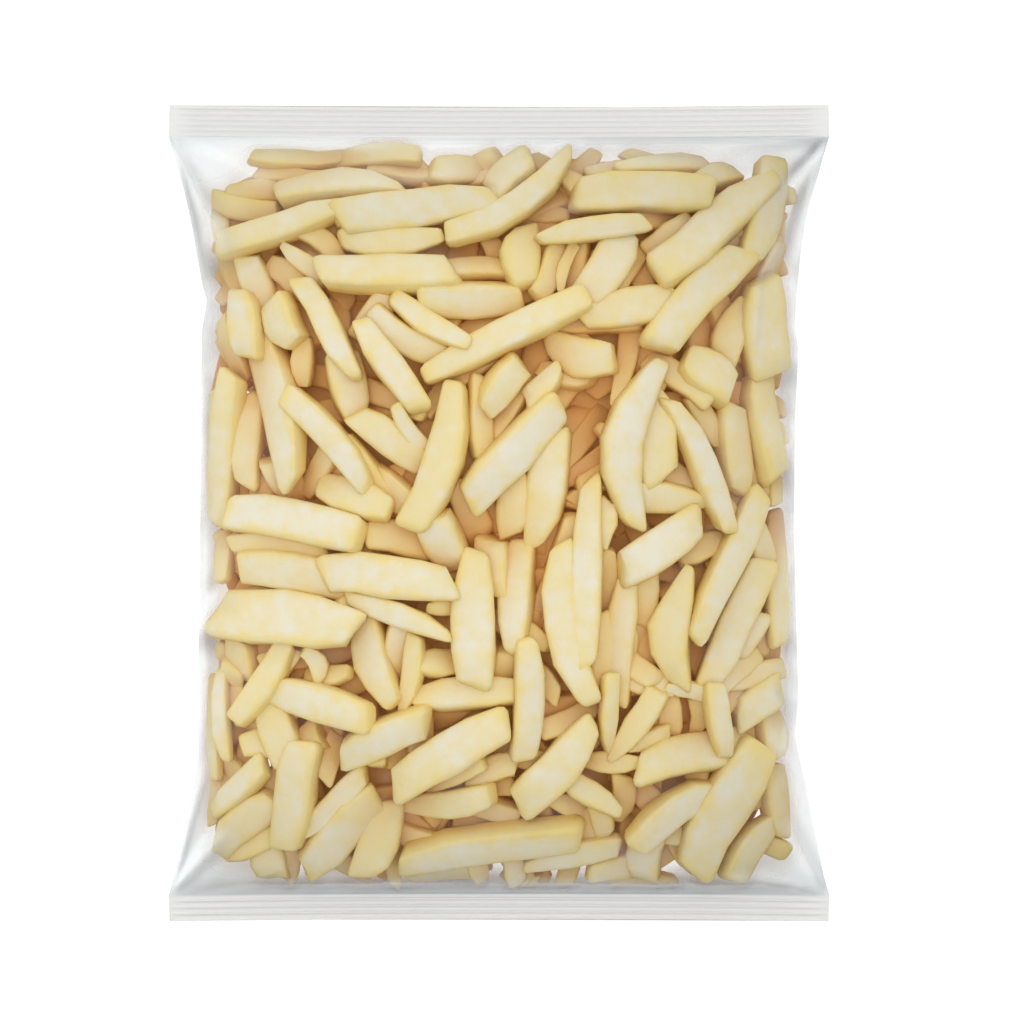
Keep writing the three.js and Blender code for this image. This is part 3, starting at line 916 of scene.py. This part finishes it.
# %% The tree that shapes the fries
def fry_tree(material):
    tree = bpy.data.node_groups.new("fry_shapes", "GeometryNodeTree")
    tree.interface.new_socket("Geometry", in_out="INPUT", socket_type="NodeSocketGeometry")
    uneven_input = tree.interface.new_socket(
        "Unevenness", in_out="INPUT", socket_type="NodeSocketFloat"
    )
    tree.interface.new_socket("Geometry", in_out="OUTPUT", socket_type="NodeSocketGeometry")
    net = Net(tree)
    entry = tree.nodes.new("NodeGroupInput")
    points = Value(net, entry.outputs["Geometry"])
    lumps = Value(net, entry.outputs["Unevenness"])

    sticks = tree.nodes.new("GeometryNodeJoinGeometry")
    for stick in (deep_stick, near_stick):  # a join lists the last one linked first
        inputs = {"Object": stick, "As Instance": True}
        one = net.node("GeometryNodeObjectInfo", None, inputs, out="Geometry")
        tree.links.new(one.socket, sticks.inputs[0])
    put = net.node(
        "GeometryNodeInstanceOnPoints",
        None,
        {
            "Points": points,
            "Instance": Value(net, sticks.outputs[0]),
            "Pick Instance": True,
            "Instance Index": net.attribute("kind", "INT"),
        },
    )
    real = net.node("GeometryNodeRealizeInstances", None, {"Geometry": put})

    place, across, upward = net.parts(net.attribute("place", "FLOAT_VECTOR"))
    length, width, depth = net.parts(net.attribute("measure", "FLOAT_VECTOR"))
    late = place.above(0)
    tip = net.attribute("first_tip") * (1 - late) + net.attribute("last_tip") * late
    narrowed = taper(place.size(), tip)
    flatter = narrowed * 0.5 + 0.5
    near_end = place.size() ** 8
    oblique = net.attribute("slant") * across * near_end * width * 0.5
    undercut = net.attribute("lean") * upward * near_end * depth * 0.5
    x = place * length * 0.5 + oblique * narrowed + undercut
    phase = place * 4.2 + net.attribute("seed") * 6.3
    ripple = net.node("ShaderNodeMath", {"operation": "SINE"}, {0: phase})
    wobble = net.attribute("wander") * ripple * width
    one_sided = net.attribute("skew") * (1 - narrowed) * width * 0.5
    middle_line = net.attribute("bend") * (0.5 - place**2) + wobble + one_sided
    y = across * width * 0.5 * narrowed + middle_line
    z = upward * depth * 0.5 * flatter
    angles = net.attribute("rotation", "FLOAT_VECTOR")
    turn = net.node("FunctionNodeEulerToRotation", None, {0: angles})
    laid = net.node("FunctionNodeRotateVector", None, {0: net.vector(x, y, z), 1: turn})
    centre = net.attribute("centre", "FLOAT_VECTOR")
    where = net.node("ShaderNodeVectorMath", {"operation": "ADD"}, {0: laid, 1: centre})
    shaped = net.node("GeometryNodeSetPosition", None, {"Geometry": real, "Position": where})

    broad = net.node("ShaderNodeTexNoise", None, {"Scale": 62.0, "Detail": 2.0}, out="Fac") - 0.5
    normal = net.node("GeometryNodeInputNormal")
    push = net.node(
        "ShaderNodeVectorMath", {"operation": "SCALE"}, {0: normal, "Scale": broad * lumps}
    )
    uneven = net.node("GeometryNodeSetPosition", None, {"Geometry": shaped, "Offset": push})
    smooth = net.node("GeometryNodeSetShadeSmooth", None, {0: uneven})
    final = net.node("GeometryNodeSetMaterial", None, {"Geometry": smooth, "Material": material})
    leave = tree.nodes.new("NodeGroupOutput")
    tree.links.new(final.socket, leave.inputs[0])
    return tree, uneven_input.identifier


print("the fry tree is ready")

# %% [markdown]
# Raw potato is pale cream on its cut faces and yellower towards its edges, where the light
# comes through more flesh. Deep in the heap every ray has passed through several fries, so
# the gaps are a warm orange brown, not grey. Subsurface scattering would show that by itself,
# but it renders slowly and the export drops it. So the colour follows how deep a point lies
# under the film, and the deepest glow faintly. Towards the ends and the right of the bag the
# light is a little weaker.


# %% The potato
def potato_material():
    material = bpy.data.materials.new("potato")
    material.use_nodes = True
    net = Net(material.node_tree)
    net.tree.nodes.clear()

    def own(name, out="Fac"):
        return net.node("ShaderNodeAttribute", {"attribute_name": name}, out=out)

    tone, deep = own("tone"), own("deep")
    ends, across, upward = net.parts(own("place", out="Vector"))
    where = net.node("ShaderNodeTexCoord", out="Object")
    x, y, _ = net.parts(where)

    def noise(scale, detail):
        settings = {"Vector": where, "Scale": scale, "Detail": detail}
        return net.node("ShaderNodeTexNoise", None, settings)

    patches, mottle, grain = noise(45.0, 1.0), noise(170.0, 2.0), noise(900.0, 1.0)
    pale, cream = (0.80, 0.755, 0.62, 1), (0.81, 0.695, 0.38, 1)
    yellow, orange = (0.84, 0.66, 0.23, 1), (0.88, 0.55, 0.13, 1)
    amber, shade = (0.67, 0.33, 0.095, 1), (0.72, 0.71, 0.68, 1)
    yellowness = tone * 0.8 + patches * 1.1 + mottle * 1.3 + ends.size() ** 4 * 0.6 - 0.95
    face = net.mix("RGBA", yellowness.between(0.0, 1.1), pale, cream)
    uneven = patches * 0.6 + mottle * 0.6 - 0.6
    edge = (across.size() + uneven).between(0.45, 1.05)
    end_cut = (ends.size() + uneven * 0.5).between(0.8, 1.05)
    colour = net.mix("RGBA", edge.largest(end_cut) * 0.75, face, yellow)
    # Painted shade: the lower side of each fry is mixed towards orange.
    shaded_underside = 1 - (upward + uneven).between(-1.0, 0.6)
    colour = net.mix("RGBA", shaded_underside * 0.85, colour, orange)
    colour = net.mix("RGBA", deep.between(0.12, 0.5) * 0.55, colour, yellow)
    colour = net.mix("RGBA", deep.between(0.22, 0.72) * 0.95, colour, amber)
    from_middle = (y * (1 / MM) - BODY_MIDDLE).size() * (1 / BODY_HALF)
    to_right = x * (1 / MM)
    shaded = from_middle.between(0.45, 0.95) * 0.5 + to_right.between(20.0, 125.0) * 0.4
    colour = net.node(
        "ShaderNodeMix",
        {"data_type": "RGBA", "blend_type": "MULTIPLY"},
        {"Factor": shaded, "A": colour, "B": shade},
    )
    glow = net.mix("RGBA", deep.between(0.25, 0.7), (0, 0, 0, 1), (0.9, 0.55, 0.2, 1))
    height = patches + mottle * 0.5 + grain * 0.1
    bump = net.node("ShaderNodeBump", None, {"Strength": 0.6, "Distance": 0.0015, "Height": height})
    shader = net.node(
        "ShaderNodeBsdfPrincipled",
        None,
        {
            "Base Color": colour,
            "Roughness": 0.55,
            "Specular IOR Level": 0.2,
            "Emission Color": glow,
            "Emission Strength": 0.03,
            "Normal": bump,
        },
    )
    leave = net.tree.nodes.new("ShaderNodeOutputMaterial")
    net.tree.links.new(shader.socket, leave.inputs["Surface"])
    return material


potato = potato_material()
print("material:", potato.name)

# %% Shaping the fries and making them a plain mesh
UNEVENNESS = 3.6  # how far the noise could move a point, in mm
tree, unevenness_socket = fry_tree(potato)
modifier = fries.modifiers.new("shapes", "NODES")
modifier.node_group = tree
modifier[unevenness_socket] = UNEVENNESS * MM
bpy.context.view_layer.update()
evaluated = fries.evaluated_get(bpy.context.evaluated_depsgraph_get())
plain = bpy.data.meshes.new_from_object(evaluated)
fries.modifiers.remove(modifier)
fries.data = plain
for stick in (near_stick, deep_stick):
    bpy.data.objects.remove(stick)
print("fries:", len(plain.polygons), "faces,", len(plain.vertices), "points")


# %% How deep each point lies under the film
DEEPEST = 26  # where the colour of the gaps is at its strongest


def point_places(mesh):
    co = np.empty(len(mesh.vertices) * 3, np.float32)
    mesh.vertices.foreach_get("co", co)
    return co.reshape(-1, 3) / MM


def keep_depth(mesh):
    x, y, z = point_places(mesh).T
    depth = upper_sheet(x, y) - z
    add_attribute(mesh, "deep", "FLOAT", np.clip(depth / DEEPEST, 0, 1))
    print(mesh.name, "reaches", round(float(z.max()), 1), "mm")


keep_depth(fries.data)
keep_depth(core.data)
# The core lies deep, so it takes the painted amber shade and faint glow of the deepest gaps.
core.data.materials.append(potato)
for name in ["centre", "rotation", "measure", "kind"] + SHAPE_NUMBERS:
    if name in fries.data.attributes:
        fries.data.attributes.remove(fries.data.attributes[name])
print("attributes left:", [a.name for a in fries.data.attributes])

# %% [markdown]
# The film is one closed skin, stretched over the heap from high point to high point. A cloth
# simulation could drape it, but it is slow and never quite the same twice. So the finished
# fries are measured from above, the gaps in that height map are bridged and smoothed, and the
# result is never lower than the fries. In the empty corners the film keeps the form of the
# filled bag, creased into flat facets that fan out from the ends of each seal.


# %% Working on height maps


def spread(field, radius, pick):
    """The highest (pick=np.maximum) or lowest value within a radius of each cell."""
    reach = int(round(radius / CELL))
    result = field.copy()
    padded = np.pad(field, reach, mode="edge")
    for dx in range(-reach, reach + 1):
        for dy in range(-reach, reach + 1):
            if dx * dx + dy * dy <= reach * reach:
                shifted = padded[
                    reach + dx : reach + dx + field.shape[0],
                    reach + dy : reach + dy + field.shape[1],
                ]
                result = pick(result, shifted)
    return result


def blurred(field, width):
    reach = int(round(3 * width / CELL))
    weights = np.exp(-0.5 * (np.arange(-reach, reach + 1) * CELL / width) ** 2)
    weights /= weights.sum()
    for axis in (0, 1):
        border = [(reach, reach) if a == axis else (0, 0) for a in (0, 1)]
        padded = np.pad(field, border, mode="edge")
        field = np.apply_along_axis(lambda row: np.convolve(row, weights, "valid"), axis, padded)
    return field


def real_tops(mesh):
    """Height of the highest potato at each cell, found by looking down on the finished fries."""
    places = point_places(mesh)
    polygons = [tuple(face.vertices) for face in mesh.polygons]
    finder = BVHTree.FromPolygons(places.tolist(), polygons)
    down = Vector((0, 0, -1))
    tops = np.zeros(cell_x.shape)
    for i, x in enumerate(map_x):
        for j, y in enumerate(map_y):
            hit = finder.ray_cast(Vector((x, y, 100)), down)[0]
            if hit is not None:
                tops[i, j] = hit.z
    return tops


heap_top = real_tops(fries.data)
print("the heap covers", int((heap_top > 0).sum()), "cells")

# %% The film over the heap
BRIDGE = 10  # gaps narrower than twice this are bridged
HANGS = 3.5  # how far the film may hang below the full bag's form, where nothing holds it up
FIRST_BLUR, LAST_BLUR = 3.0, 2.1
FLAT_TOP, FLAT_LIFT = 4.5, 0.3  # how far round a high point the film is flat, and how far over it
CLING_REACH, CLING_BLUR, CLEARANCE = 3, 0.9, 0.45  # and how closely it follows the potato
fullness = np.clip(2.2 * swelling(cell_x, cell_y) - 0.35, 0, 1)
bridged = spread(spread(heap_top, BRIDGE, np.maximum), BRIDGE, np.minimum)
slack = upper_sheet(cell_x, cell_y) - HANGS * fullness
film_map = blurred(np.maximum(bridged, slack), FIRST_BLUR)
flat_tops = spread(heap_top, FLAT_TOP, np.maximum) + FLAT_LIFT
film_map = blurred(np.maximum(film_map, flat_tops), LAST_BLUR)
touching = blurred(spread(heap_top, CLING_REACH, np.maximum), CLING_BLUR) + CLEARANCE
film_map = np.maximum(film_map, touching)

# How loosely the film hangs, and where the under sheet, clear of the heap, takes a painted shade
# that stands for the floor in shade under the bag
ABOVE_FLOOR = 5  # potato lower than this doesn't count
heap_footprint = (heap_top > ABOVE_FLOOR).astype(float)
closed_footprint = spread(spread(heap_footprint, 7, np.maximum), 12, np.minimum)
loose = blurred(1 - spread(heap_footprint, 2, np.maximum), 1.5)
floor_shade_behind = blurred(1 - closed_footprint, 2.5)
print("film map made, highest", round(float(film_map.max()), 1), "mm")


# %% Reading a map at any place
def read_map(field, x, y):
    u = np.clip((x - map_x[0]) / CELL, 0, len(map_x) - 1.001)
    v = np.clip((y - map_y[0]) / CELL, 0, len(map_y) - 1.001)
    i, j = u.astype(int), v.astype(int)
    a, b = u - i, v - j
    low = field[i, j] * (1 - a) + field[i + 1, j] * a
    high = field[i, j + 1] * (1 - a) + field[i + 1, j + 1] * a
    return low * (1 - b) + high * b


def crimp(distance, pitch, wide):
    """1 on the line of each crimp and 0 between them, with straight flanks."""
    off = np.abs(distance / pitch - np.round(distance / pitch)) * pitch
    return np.clip(1 - off / wide, 0, 1)


middle_height = read_map(film_map, np.zeros(1), np.zeros(1))[0]
print(f"in the middle of the bag the film is {middle_height:.1f} mm high")


# %% The folds, as the photograph shows them
def fold(start, end, height, width, spread_to=None):
    """A crease in the film, in mm: its two ends, its height, and its half width at each end."""
    last = width if spread_to is None else spread_to
    return dict(start=start, end=end, height=height, width=width, last=last)


UPPER_FOLDS = [
    fold((-131, 150), (-118, 92), 2.5, 1.5, 3.5),
    fold((-131, 150), (-104, 97), 3.2, 1.5, 6),
    fold((-129, 150), (-86, 128), 2.2, 1.5, 7),
    fold((-110, 148), (-40, 145.5), 1.3, 2, 3),
    fold((-30, 148), (60, 146), 1.1, 2, 3),
    fold((131, 149), (110, 126), -2.8, 1.5, 6),
    fold((130, 150), (84, 145), 2.0, 1.5, 4),
    fold((131, 148), (120, 96), 2.2, 1.5, 4),
    fold((122, 136), (112, 106), 2.6, 2, 4),
    fold((114, 110), (102, 90), 2.6, 4, 3),
    fold((103, 94), (101, 64), 2.0, 3, 2),
]
LOWER_FOLDS = [
    fold((-112, -148), (6, -147.5), 3.2, 2, 4),
    fold((118, -148.5), (-6, -147.5), 3.0, 2, 4),
    fold((-131, -152), (-106, -124), 3.6, 1.5, 8),
    fold((-131, -151), (-118, -100), 2.2, 1.5, 4),
    fold((131, -152), (113, -120), 3.0, 1.5, 6),
    fold((129, -152), (88, -144), 2.6, 1.5, 5),
]
SIDE_FOLDS = [
    fold((-119, 70), (-116, -10), 1.4, 3, 3),
    fold((-116, -4), (-118, -100), 1.4, 3, 3),
    fold((-117, 88), (-98, 78), 1.4, 2, 3),
    fold((112, 62), (116, -6), 1.6, 3, 3),
    fold((117, -8), (113, -100), 1.6, 3, 3),
    fold((118, 30), (112, 12), 1.2, 2, 2),
]
FOLDS = UPPER_FOLDS + LOWER_FOLDS + SIDE_FOLDS


def folded(x, y):
    """How far all the folds lift the film, and how sharply it is creased there, up to 1."""
    height, creased = np.zeros_like(x), np.zeros_like(x)
    for one in FOLDS:
        (x0, y0), (x1, y1) = one["start"], one["end"]
        run = math.hypot(x1 - x0, y1 - y0)
        t = ((x - x0) * (x1 - x0) + (y - y0) * (y1 - y0)) / run**2
        off = np.abs((x - x0) * (y1 - y0) - (y - y0) * (x1 - x0)) / run
        width = one["width"] + (one["last"] - one["width"]) * np.clip(t, 0, 1)
        ends = np.clip(np.minimum(t, 1 - t) * 5, 0, 1)
        ridge = np.clip(1 - off / width, 0, 1) * ends
        height += one["height"] * ridge
        creased = np.maximum(creased, ridge * abs(one["height"]) / 3.5)
    return height, np.clip(creased, 0, 1)


# Painted light and shade for the film: how far each place faces beyond the upper seal, and how far
# each fold faces left as well
fold_height, creased = folded(cell_x, cell_y)
sheet_slope, fold_slope = np.gradient(film_map, CELL), np.gradient(fold_height, CELL)
to_light = -sheet_slope[1] + fold_slope[0] - 0.7 * fold_slope[1]
lit = blurred(to_light / (1 + np.abs(to_light)), 0.7)
print(len(FOLDS), "folds")

# %% The skin of film as one closed mesh
OVER_POINTS, UNDER_POINTS = 150, 64
GROOVE_PITCH, GROOVE_DEPTH = 2.2, 0.65  # the upper seal is pressed in along five lines
RIB_PITCH, RIB_HEIGHT = 2.7, 0.85  # and the lower one stands out along four
CRIMP_WIDE = 0.75  # half the width of one
SHEET = 0.45  # half the thickness of the sealed double film
SIDE_CREASE, SEAL_REACH = 70, 2  # how sharp the side seams are, and how soon a seal lets go


def film_stations():
    body = np.linspace(BODY_BOTTOM, BODY_TOP, 150)
    lower = np.arange(-BAG_LENGTH / 2, BODY_BOTTOM - 0.1, GROOVE_PITCH / 6)
    upper = np.arange(BODY_TOP + GROOVE_PITCH / 6, BAG_LENGTH / 2, GROOVE_PITCH / 6)
    return np.concatenate([lower, body, upper, [BAG_LENGTH / 2]])


def film_ring(y):
    """The ring round the bag at y: back under it from +X to -X, and over it again."""
    under = np.cos(np.linspace(0, np.pi, UNDER_POINTS, endpoint=False))
    over = np.cos(np.linspace(np.pi, 2 * np.pi, OVER_POINTS, endpoint=False))
    u = np.concatenate([under, over])
    side = np.concatenate([-np.ones(UNDER_POINTS), np.ones(OVER_POINTS)])
    at = np.full_like(u, y)
    x = u * half_width(y) + np.where(u > 0, pucker(y, 1), -pucker(y, -1)) * np.abs(u) ** 6
    edge = 1 - np.abs(u) ** SIDE_CREASE
    sheet = seam_height(y) + side * SHEET * edge
    top = np.maximum(read_map(film_map, x, at) + folded(x, at)[0], read_map(touching, x, at))
    top = np.maximum(top, sheet)
    low = np.minimum(underside(x, at) + 0.05, sheet)
    inside = BODY_BOTTOM < y < BODY_TOP
    blend = np.clip(min(BODY_TOP - y, y - BODY_BOTTOM) / SEAL_REACH, 0, 1) if inside else 0
    z = np.where(side > 0, top, low) * blend + sheet * (1 - blend)
    z = z * edge + seam_height(y) * (1 - edge)
    if not inside:
        if y > 0:
            press = -GROOVE_DEPTH * crimp(y - BODY_TOP, GROOVE_PITCH, CRIMP_WIDE)
        else:
            press = RIB_HEIGHT * crimp(BODY_BOTTOM - y, RIB_PITCH, CRIMP_WIDE)
        z = z + press * np.clip((1 - np.abs(u)) * 14, 0, 1)
    bow = SEAL_BOW * np.sign(along(y)) * np.abs(along(y)) ** 8 * (1 - u * u)
    return np.stack([x, at - bow, z], axis=1)


def film_mesh():
    rings = [film_ring(float(y)) for y in film_stations()]
    count = len(rings[0])
    mesh = bpy.data.meshes.new("clear_film")
    places = np.concatenate(rings)
    mesh.from_pydata(places * MM, [], tube_faces(len(rings), count))
    mesh.shade_smooth()
    over = np.tile(np.arange(count) >= UNDER_POINTS, len(rings))
    x, y = places[:, 0], places[:, 1]
    empty = np.maximum(read_map(loose, x, y), read_map(creased, x, y))
    add_attribute(mesh, "loose", "FLOAT", empty * over)
    add_attribute(mesh, "floor_shade_behind", "FLOAT", read_map(floor_shade_behind, x, y) * ~over)
    add_attribute(mesh, "lit", "FLOAT", read_map(lit, x, y))
    return mesh


film = bpy.data.objects.new("clear_film", film_mesh())
bpy.context.scene.collection.objects.link(film)
print("film:", len(film.data.polygons), "faces")

# %% [markdown]
# Clear film lets most of the light straight through. What it adds is a faint white haze and a
# gloss that mirrors the bright room on every slope. A glass shader would bend the light as a
# solid block does. So the shader is a transparent one with some of a glossy white one over it,
# and more of that where the film is seen at a slant, where it hangs loose or is creased, and in
# the seals, where it is double. The colour of that glossy part holds painted light and shade as
# well: lighter on slopes and folds that face the light, darker next to the upper seal, and grey
# on the under sheet, where it stands for the floor in shade under the bag.


# %% The film's finish
def film_material():
    material = bpy.data.materials.new("clear_film")
    material.use_nodes = True
    net = Net(material.node_tree)
    net.tree.nodes.clear()
    x, y, _ = net.parts(net.node("ShaderNodeTexCoord", out="Object"))
    seal = (y * (1 / MM)).between(BODY_TOP - 0.6, BODY_TOP + 0.6)
    seal = seal + (y * (-1 / MM)).between(-BODY_BOTTOM - 0.6, -BODY_BOTTOM + 0.6)
    slant = net.node("ShaderNodeLayerWeight", None, {"Blend": 0.35}, out="Facing")
    loosely, floor_shade_behind, lit_side = [
        net.node("ShaderNodeAttribute", {"attribute_name": name}, out="Fac")
        for name in ("loose", "floor_shade_behind", "lit")
    ]
    from_seal = (y * (1 / MM) - BODY_MIDDLE).size() * -1 + BODY_HALF
    gathered_and_shaded = 1 - from_seal.between(1.0, 8.0)
    steep = (slant - 0.04).largest(0.0)
    # The under sheet's grey haze is painted shade: it stands for the floor in shade under the bag.
    haze_and_shade = steep * 0.55 + loosely * 0.4 + floor_shade_behind * (0.55 - lit_side * 0.4) + gathered_and_shaded * 0.15
    amount = haze_and_shade * (1 - seal) + seal * 0.6
    # Painted light and shade: the film runs from dark grey to white by how far its slopes and folds
    # face the light. Next to the upper seal, where the film is gathered, it is painted darker, and
    # also on the upper right. The lower half is painted a little lighter.
    dark, light = (0.25, 0.265, 0.275, 1), (0.90, 0.95, 0.97, 1)
    lower = (y * -1).above(0)
    upper_right = (y * (1 / MM)).between(110.0, 140.0) * (x * (1 / MM)).between(-40.0, 60.0)
    lightness = lit_side * 0.75 + 0.74 + lower * 0.14 - gathered_and_shaded * (1 - lower) * 0.25
    film_colour = net.mix("RGBA", lightness - upper_right * 0.3, dark, light)
    seal_colour = net.mix("RGBA", lower, (0.71, 0.705, 0.695, 1), (0.72, 0.715, 0.705, 1))
    colour = net.mix("RGBA", seal, film_colour, seal_colour)
    clear = net.node("ShaderNodeBsdfTransparent", None, {"Color": (0.985, 0.985, 0.985, 1)})
    glossy = net.node(
        "ShaderNodeBsdfPrincipled",
        None,
        {"Base Color": colour, "Roughness": 0.25, "Metallic": 0.2, "Specular IOR Level": 0.8},
    )
    both = net.node("ShaderNodeMixShader", None, {0: amount, 1: clear, 2: glossy})
    leave = net.tree.nodes.new("ShaderNodeOutputMaterial")
    net.tree.links.new(both.socket, leave.inputs["Surface"])
    return material


film.data.materials.append(film_material())
print("material:", film.data.materials[0].name)

# %% [markdown]
# A real bag is handled as one thing. So the fries, their core and the film ride on the bag's
# only body, and together they stand for its one CAD solid. Each could ride on a body of its
# own only if the CAD model had more of them.

# %% Handing the pieces to the frame
for piece, slot in ((fries, "fries"), (core, "fries"), (film, "clear_film")):
    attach(piece, "root")
    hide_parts("bag_of_fries")
print("pieces:", fries.name, core.name, film.name)

# %% [markdown]
# The photograph is a pack shot on white: a plain white floor, soft light from all round with
# more of it from beyond the upper seal, and a camera straight above. Large lamps could give
# that light, but a bright world gives it with less noise and no lamp to see in the gloss.


# %% The floor
def floor_material():
    material = bpy.data.materials.new("floor_white")
    material.use_nodes = True
    shader = material.node_tree.nodes["Principled BSDF"]
    shader.inputs["Base Color"].default_value = (0.3, 0.3, 0.3, 1)
    shader.inputs["Roughness"].default_value = 0.9
    shader.inputs["Emission Color"].default_value = (1, 1, 1, 1)
    shader.inputs["Emission Strength"].default_value = 0.85
    return material


def plate(name, size, height):
    mesh = bpy.data.meshes.new(name)
    corners = [(x * size, y * size, height) for x, y in ((-1, -1), (1, -1), (1, 1), (-1, 1))]
    mesh.from_pydata(corners, [], [(0, 1, 2, 3)])
    piece = bpy.data.objects.new(name, mesh)
    bpy.context.scene.collection.objects.link(piece)
    return piece


floor = plate("floor", 3.0, -0.0002)
floor.data.materials.append(floor_material())
print("floor laid")

# %% Soft light from all round
ALL_ROUND, OVERHEAD = 0.5, 0.92  # brightness at the horizon, and how much it grows upwards
TO_FAR, TO_LEFT = 0.3, 0.05  # how much brighter it is towards +Y and towards -X


def studio_world():
    """Soft light, brighter overhead, beyond the upper seal and a little to the left."""
    world = bpy.data.worlds.new("studio")
    world.use_nodes = True
    net = Net(world.node_tree)
    net.tree.nodes.clear()
    right, far, up = net.parts(net.node("ShaderNodeTexCoord", out="Generated"))
    strength = (far * TO_FAR - right * TO_LEFT + up * OVERHEAD + ALL_ROUND).largest(0.0)
    light = net.node("ShaderNodeBackground", None, {"Color": (1, 1, 1, 1), "Strength": strength})
    leave = net.tree.nodes.new("ShaderNodeOutputWorld")
    net.tree.links.new(light.socket, leave.inputs["Surface"])
    return world


world = studio_world()
world.cycles.sampling_method = "NONE"  # even light needs no rays of its own
floor.data.materials[0].cycles.emission_sampling = "NONE"
bpy.context.scene.world = world
bpy.context.scene.view_settings.view_transform = "Standard"
print("world:", world.name)

# %% The camera
camera_data = bpy.data.cameras.new("camera")
camera_data.lens = LENS
camera_data.sensor_width = SENSOR
camera = bpy.data.objects.new("camera", camera_data)
camera.location = (VIEW_CENTRE[0] * MM, VIEW_CENTRE[1] * MM, (SEAL_HEIGHT + CAMERA_DISTANCE) * MM)
bpy.context.scene.collection.objects.link(camera)
bpy.context.scene.camera = camera
print("camera at", [round(v, 3) for v in camera.location])
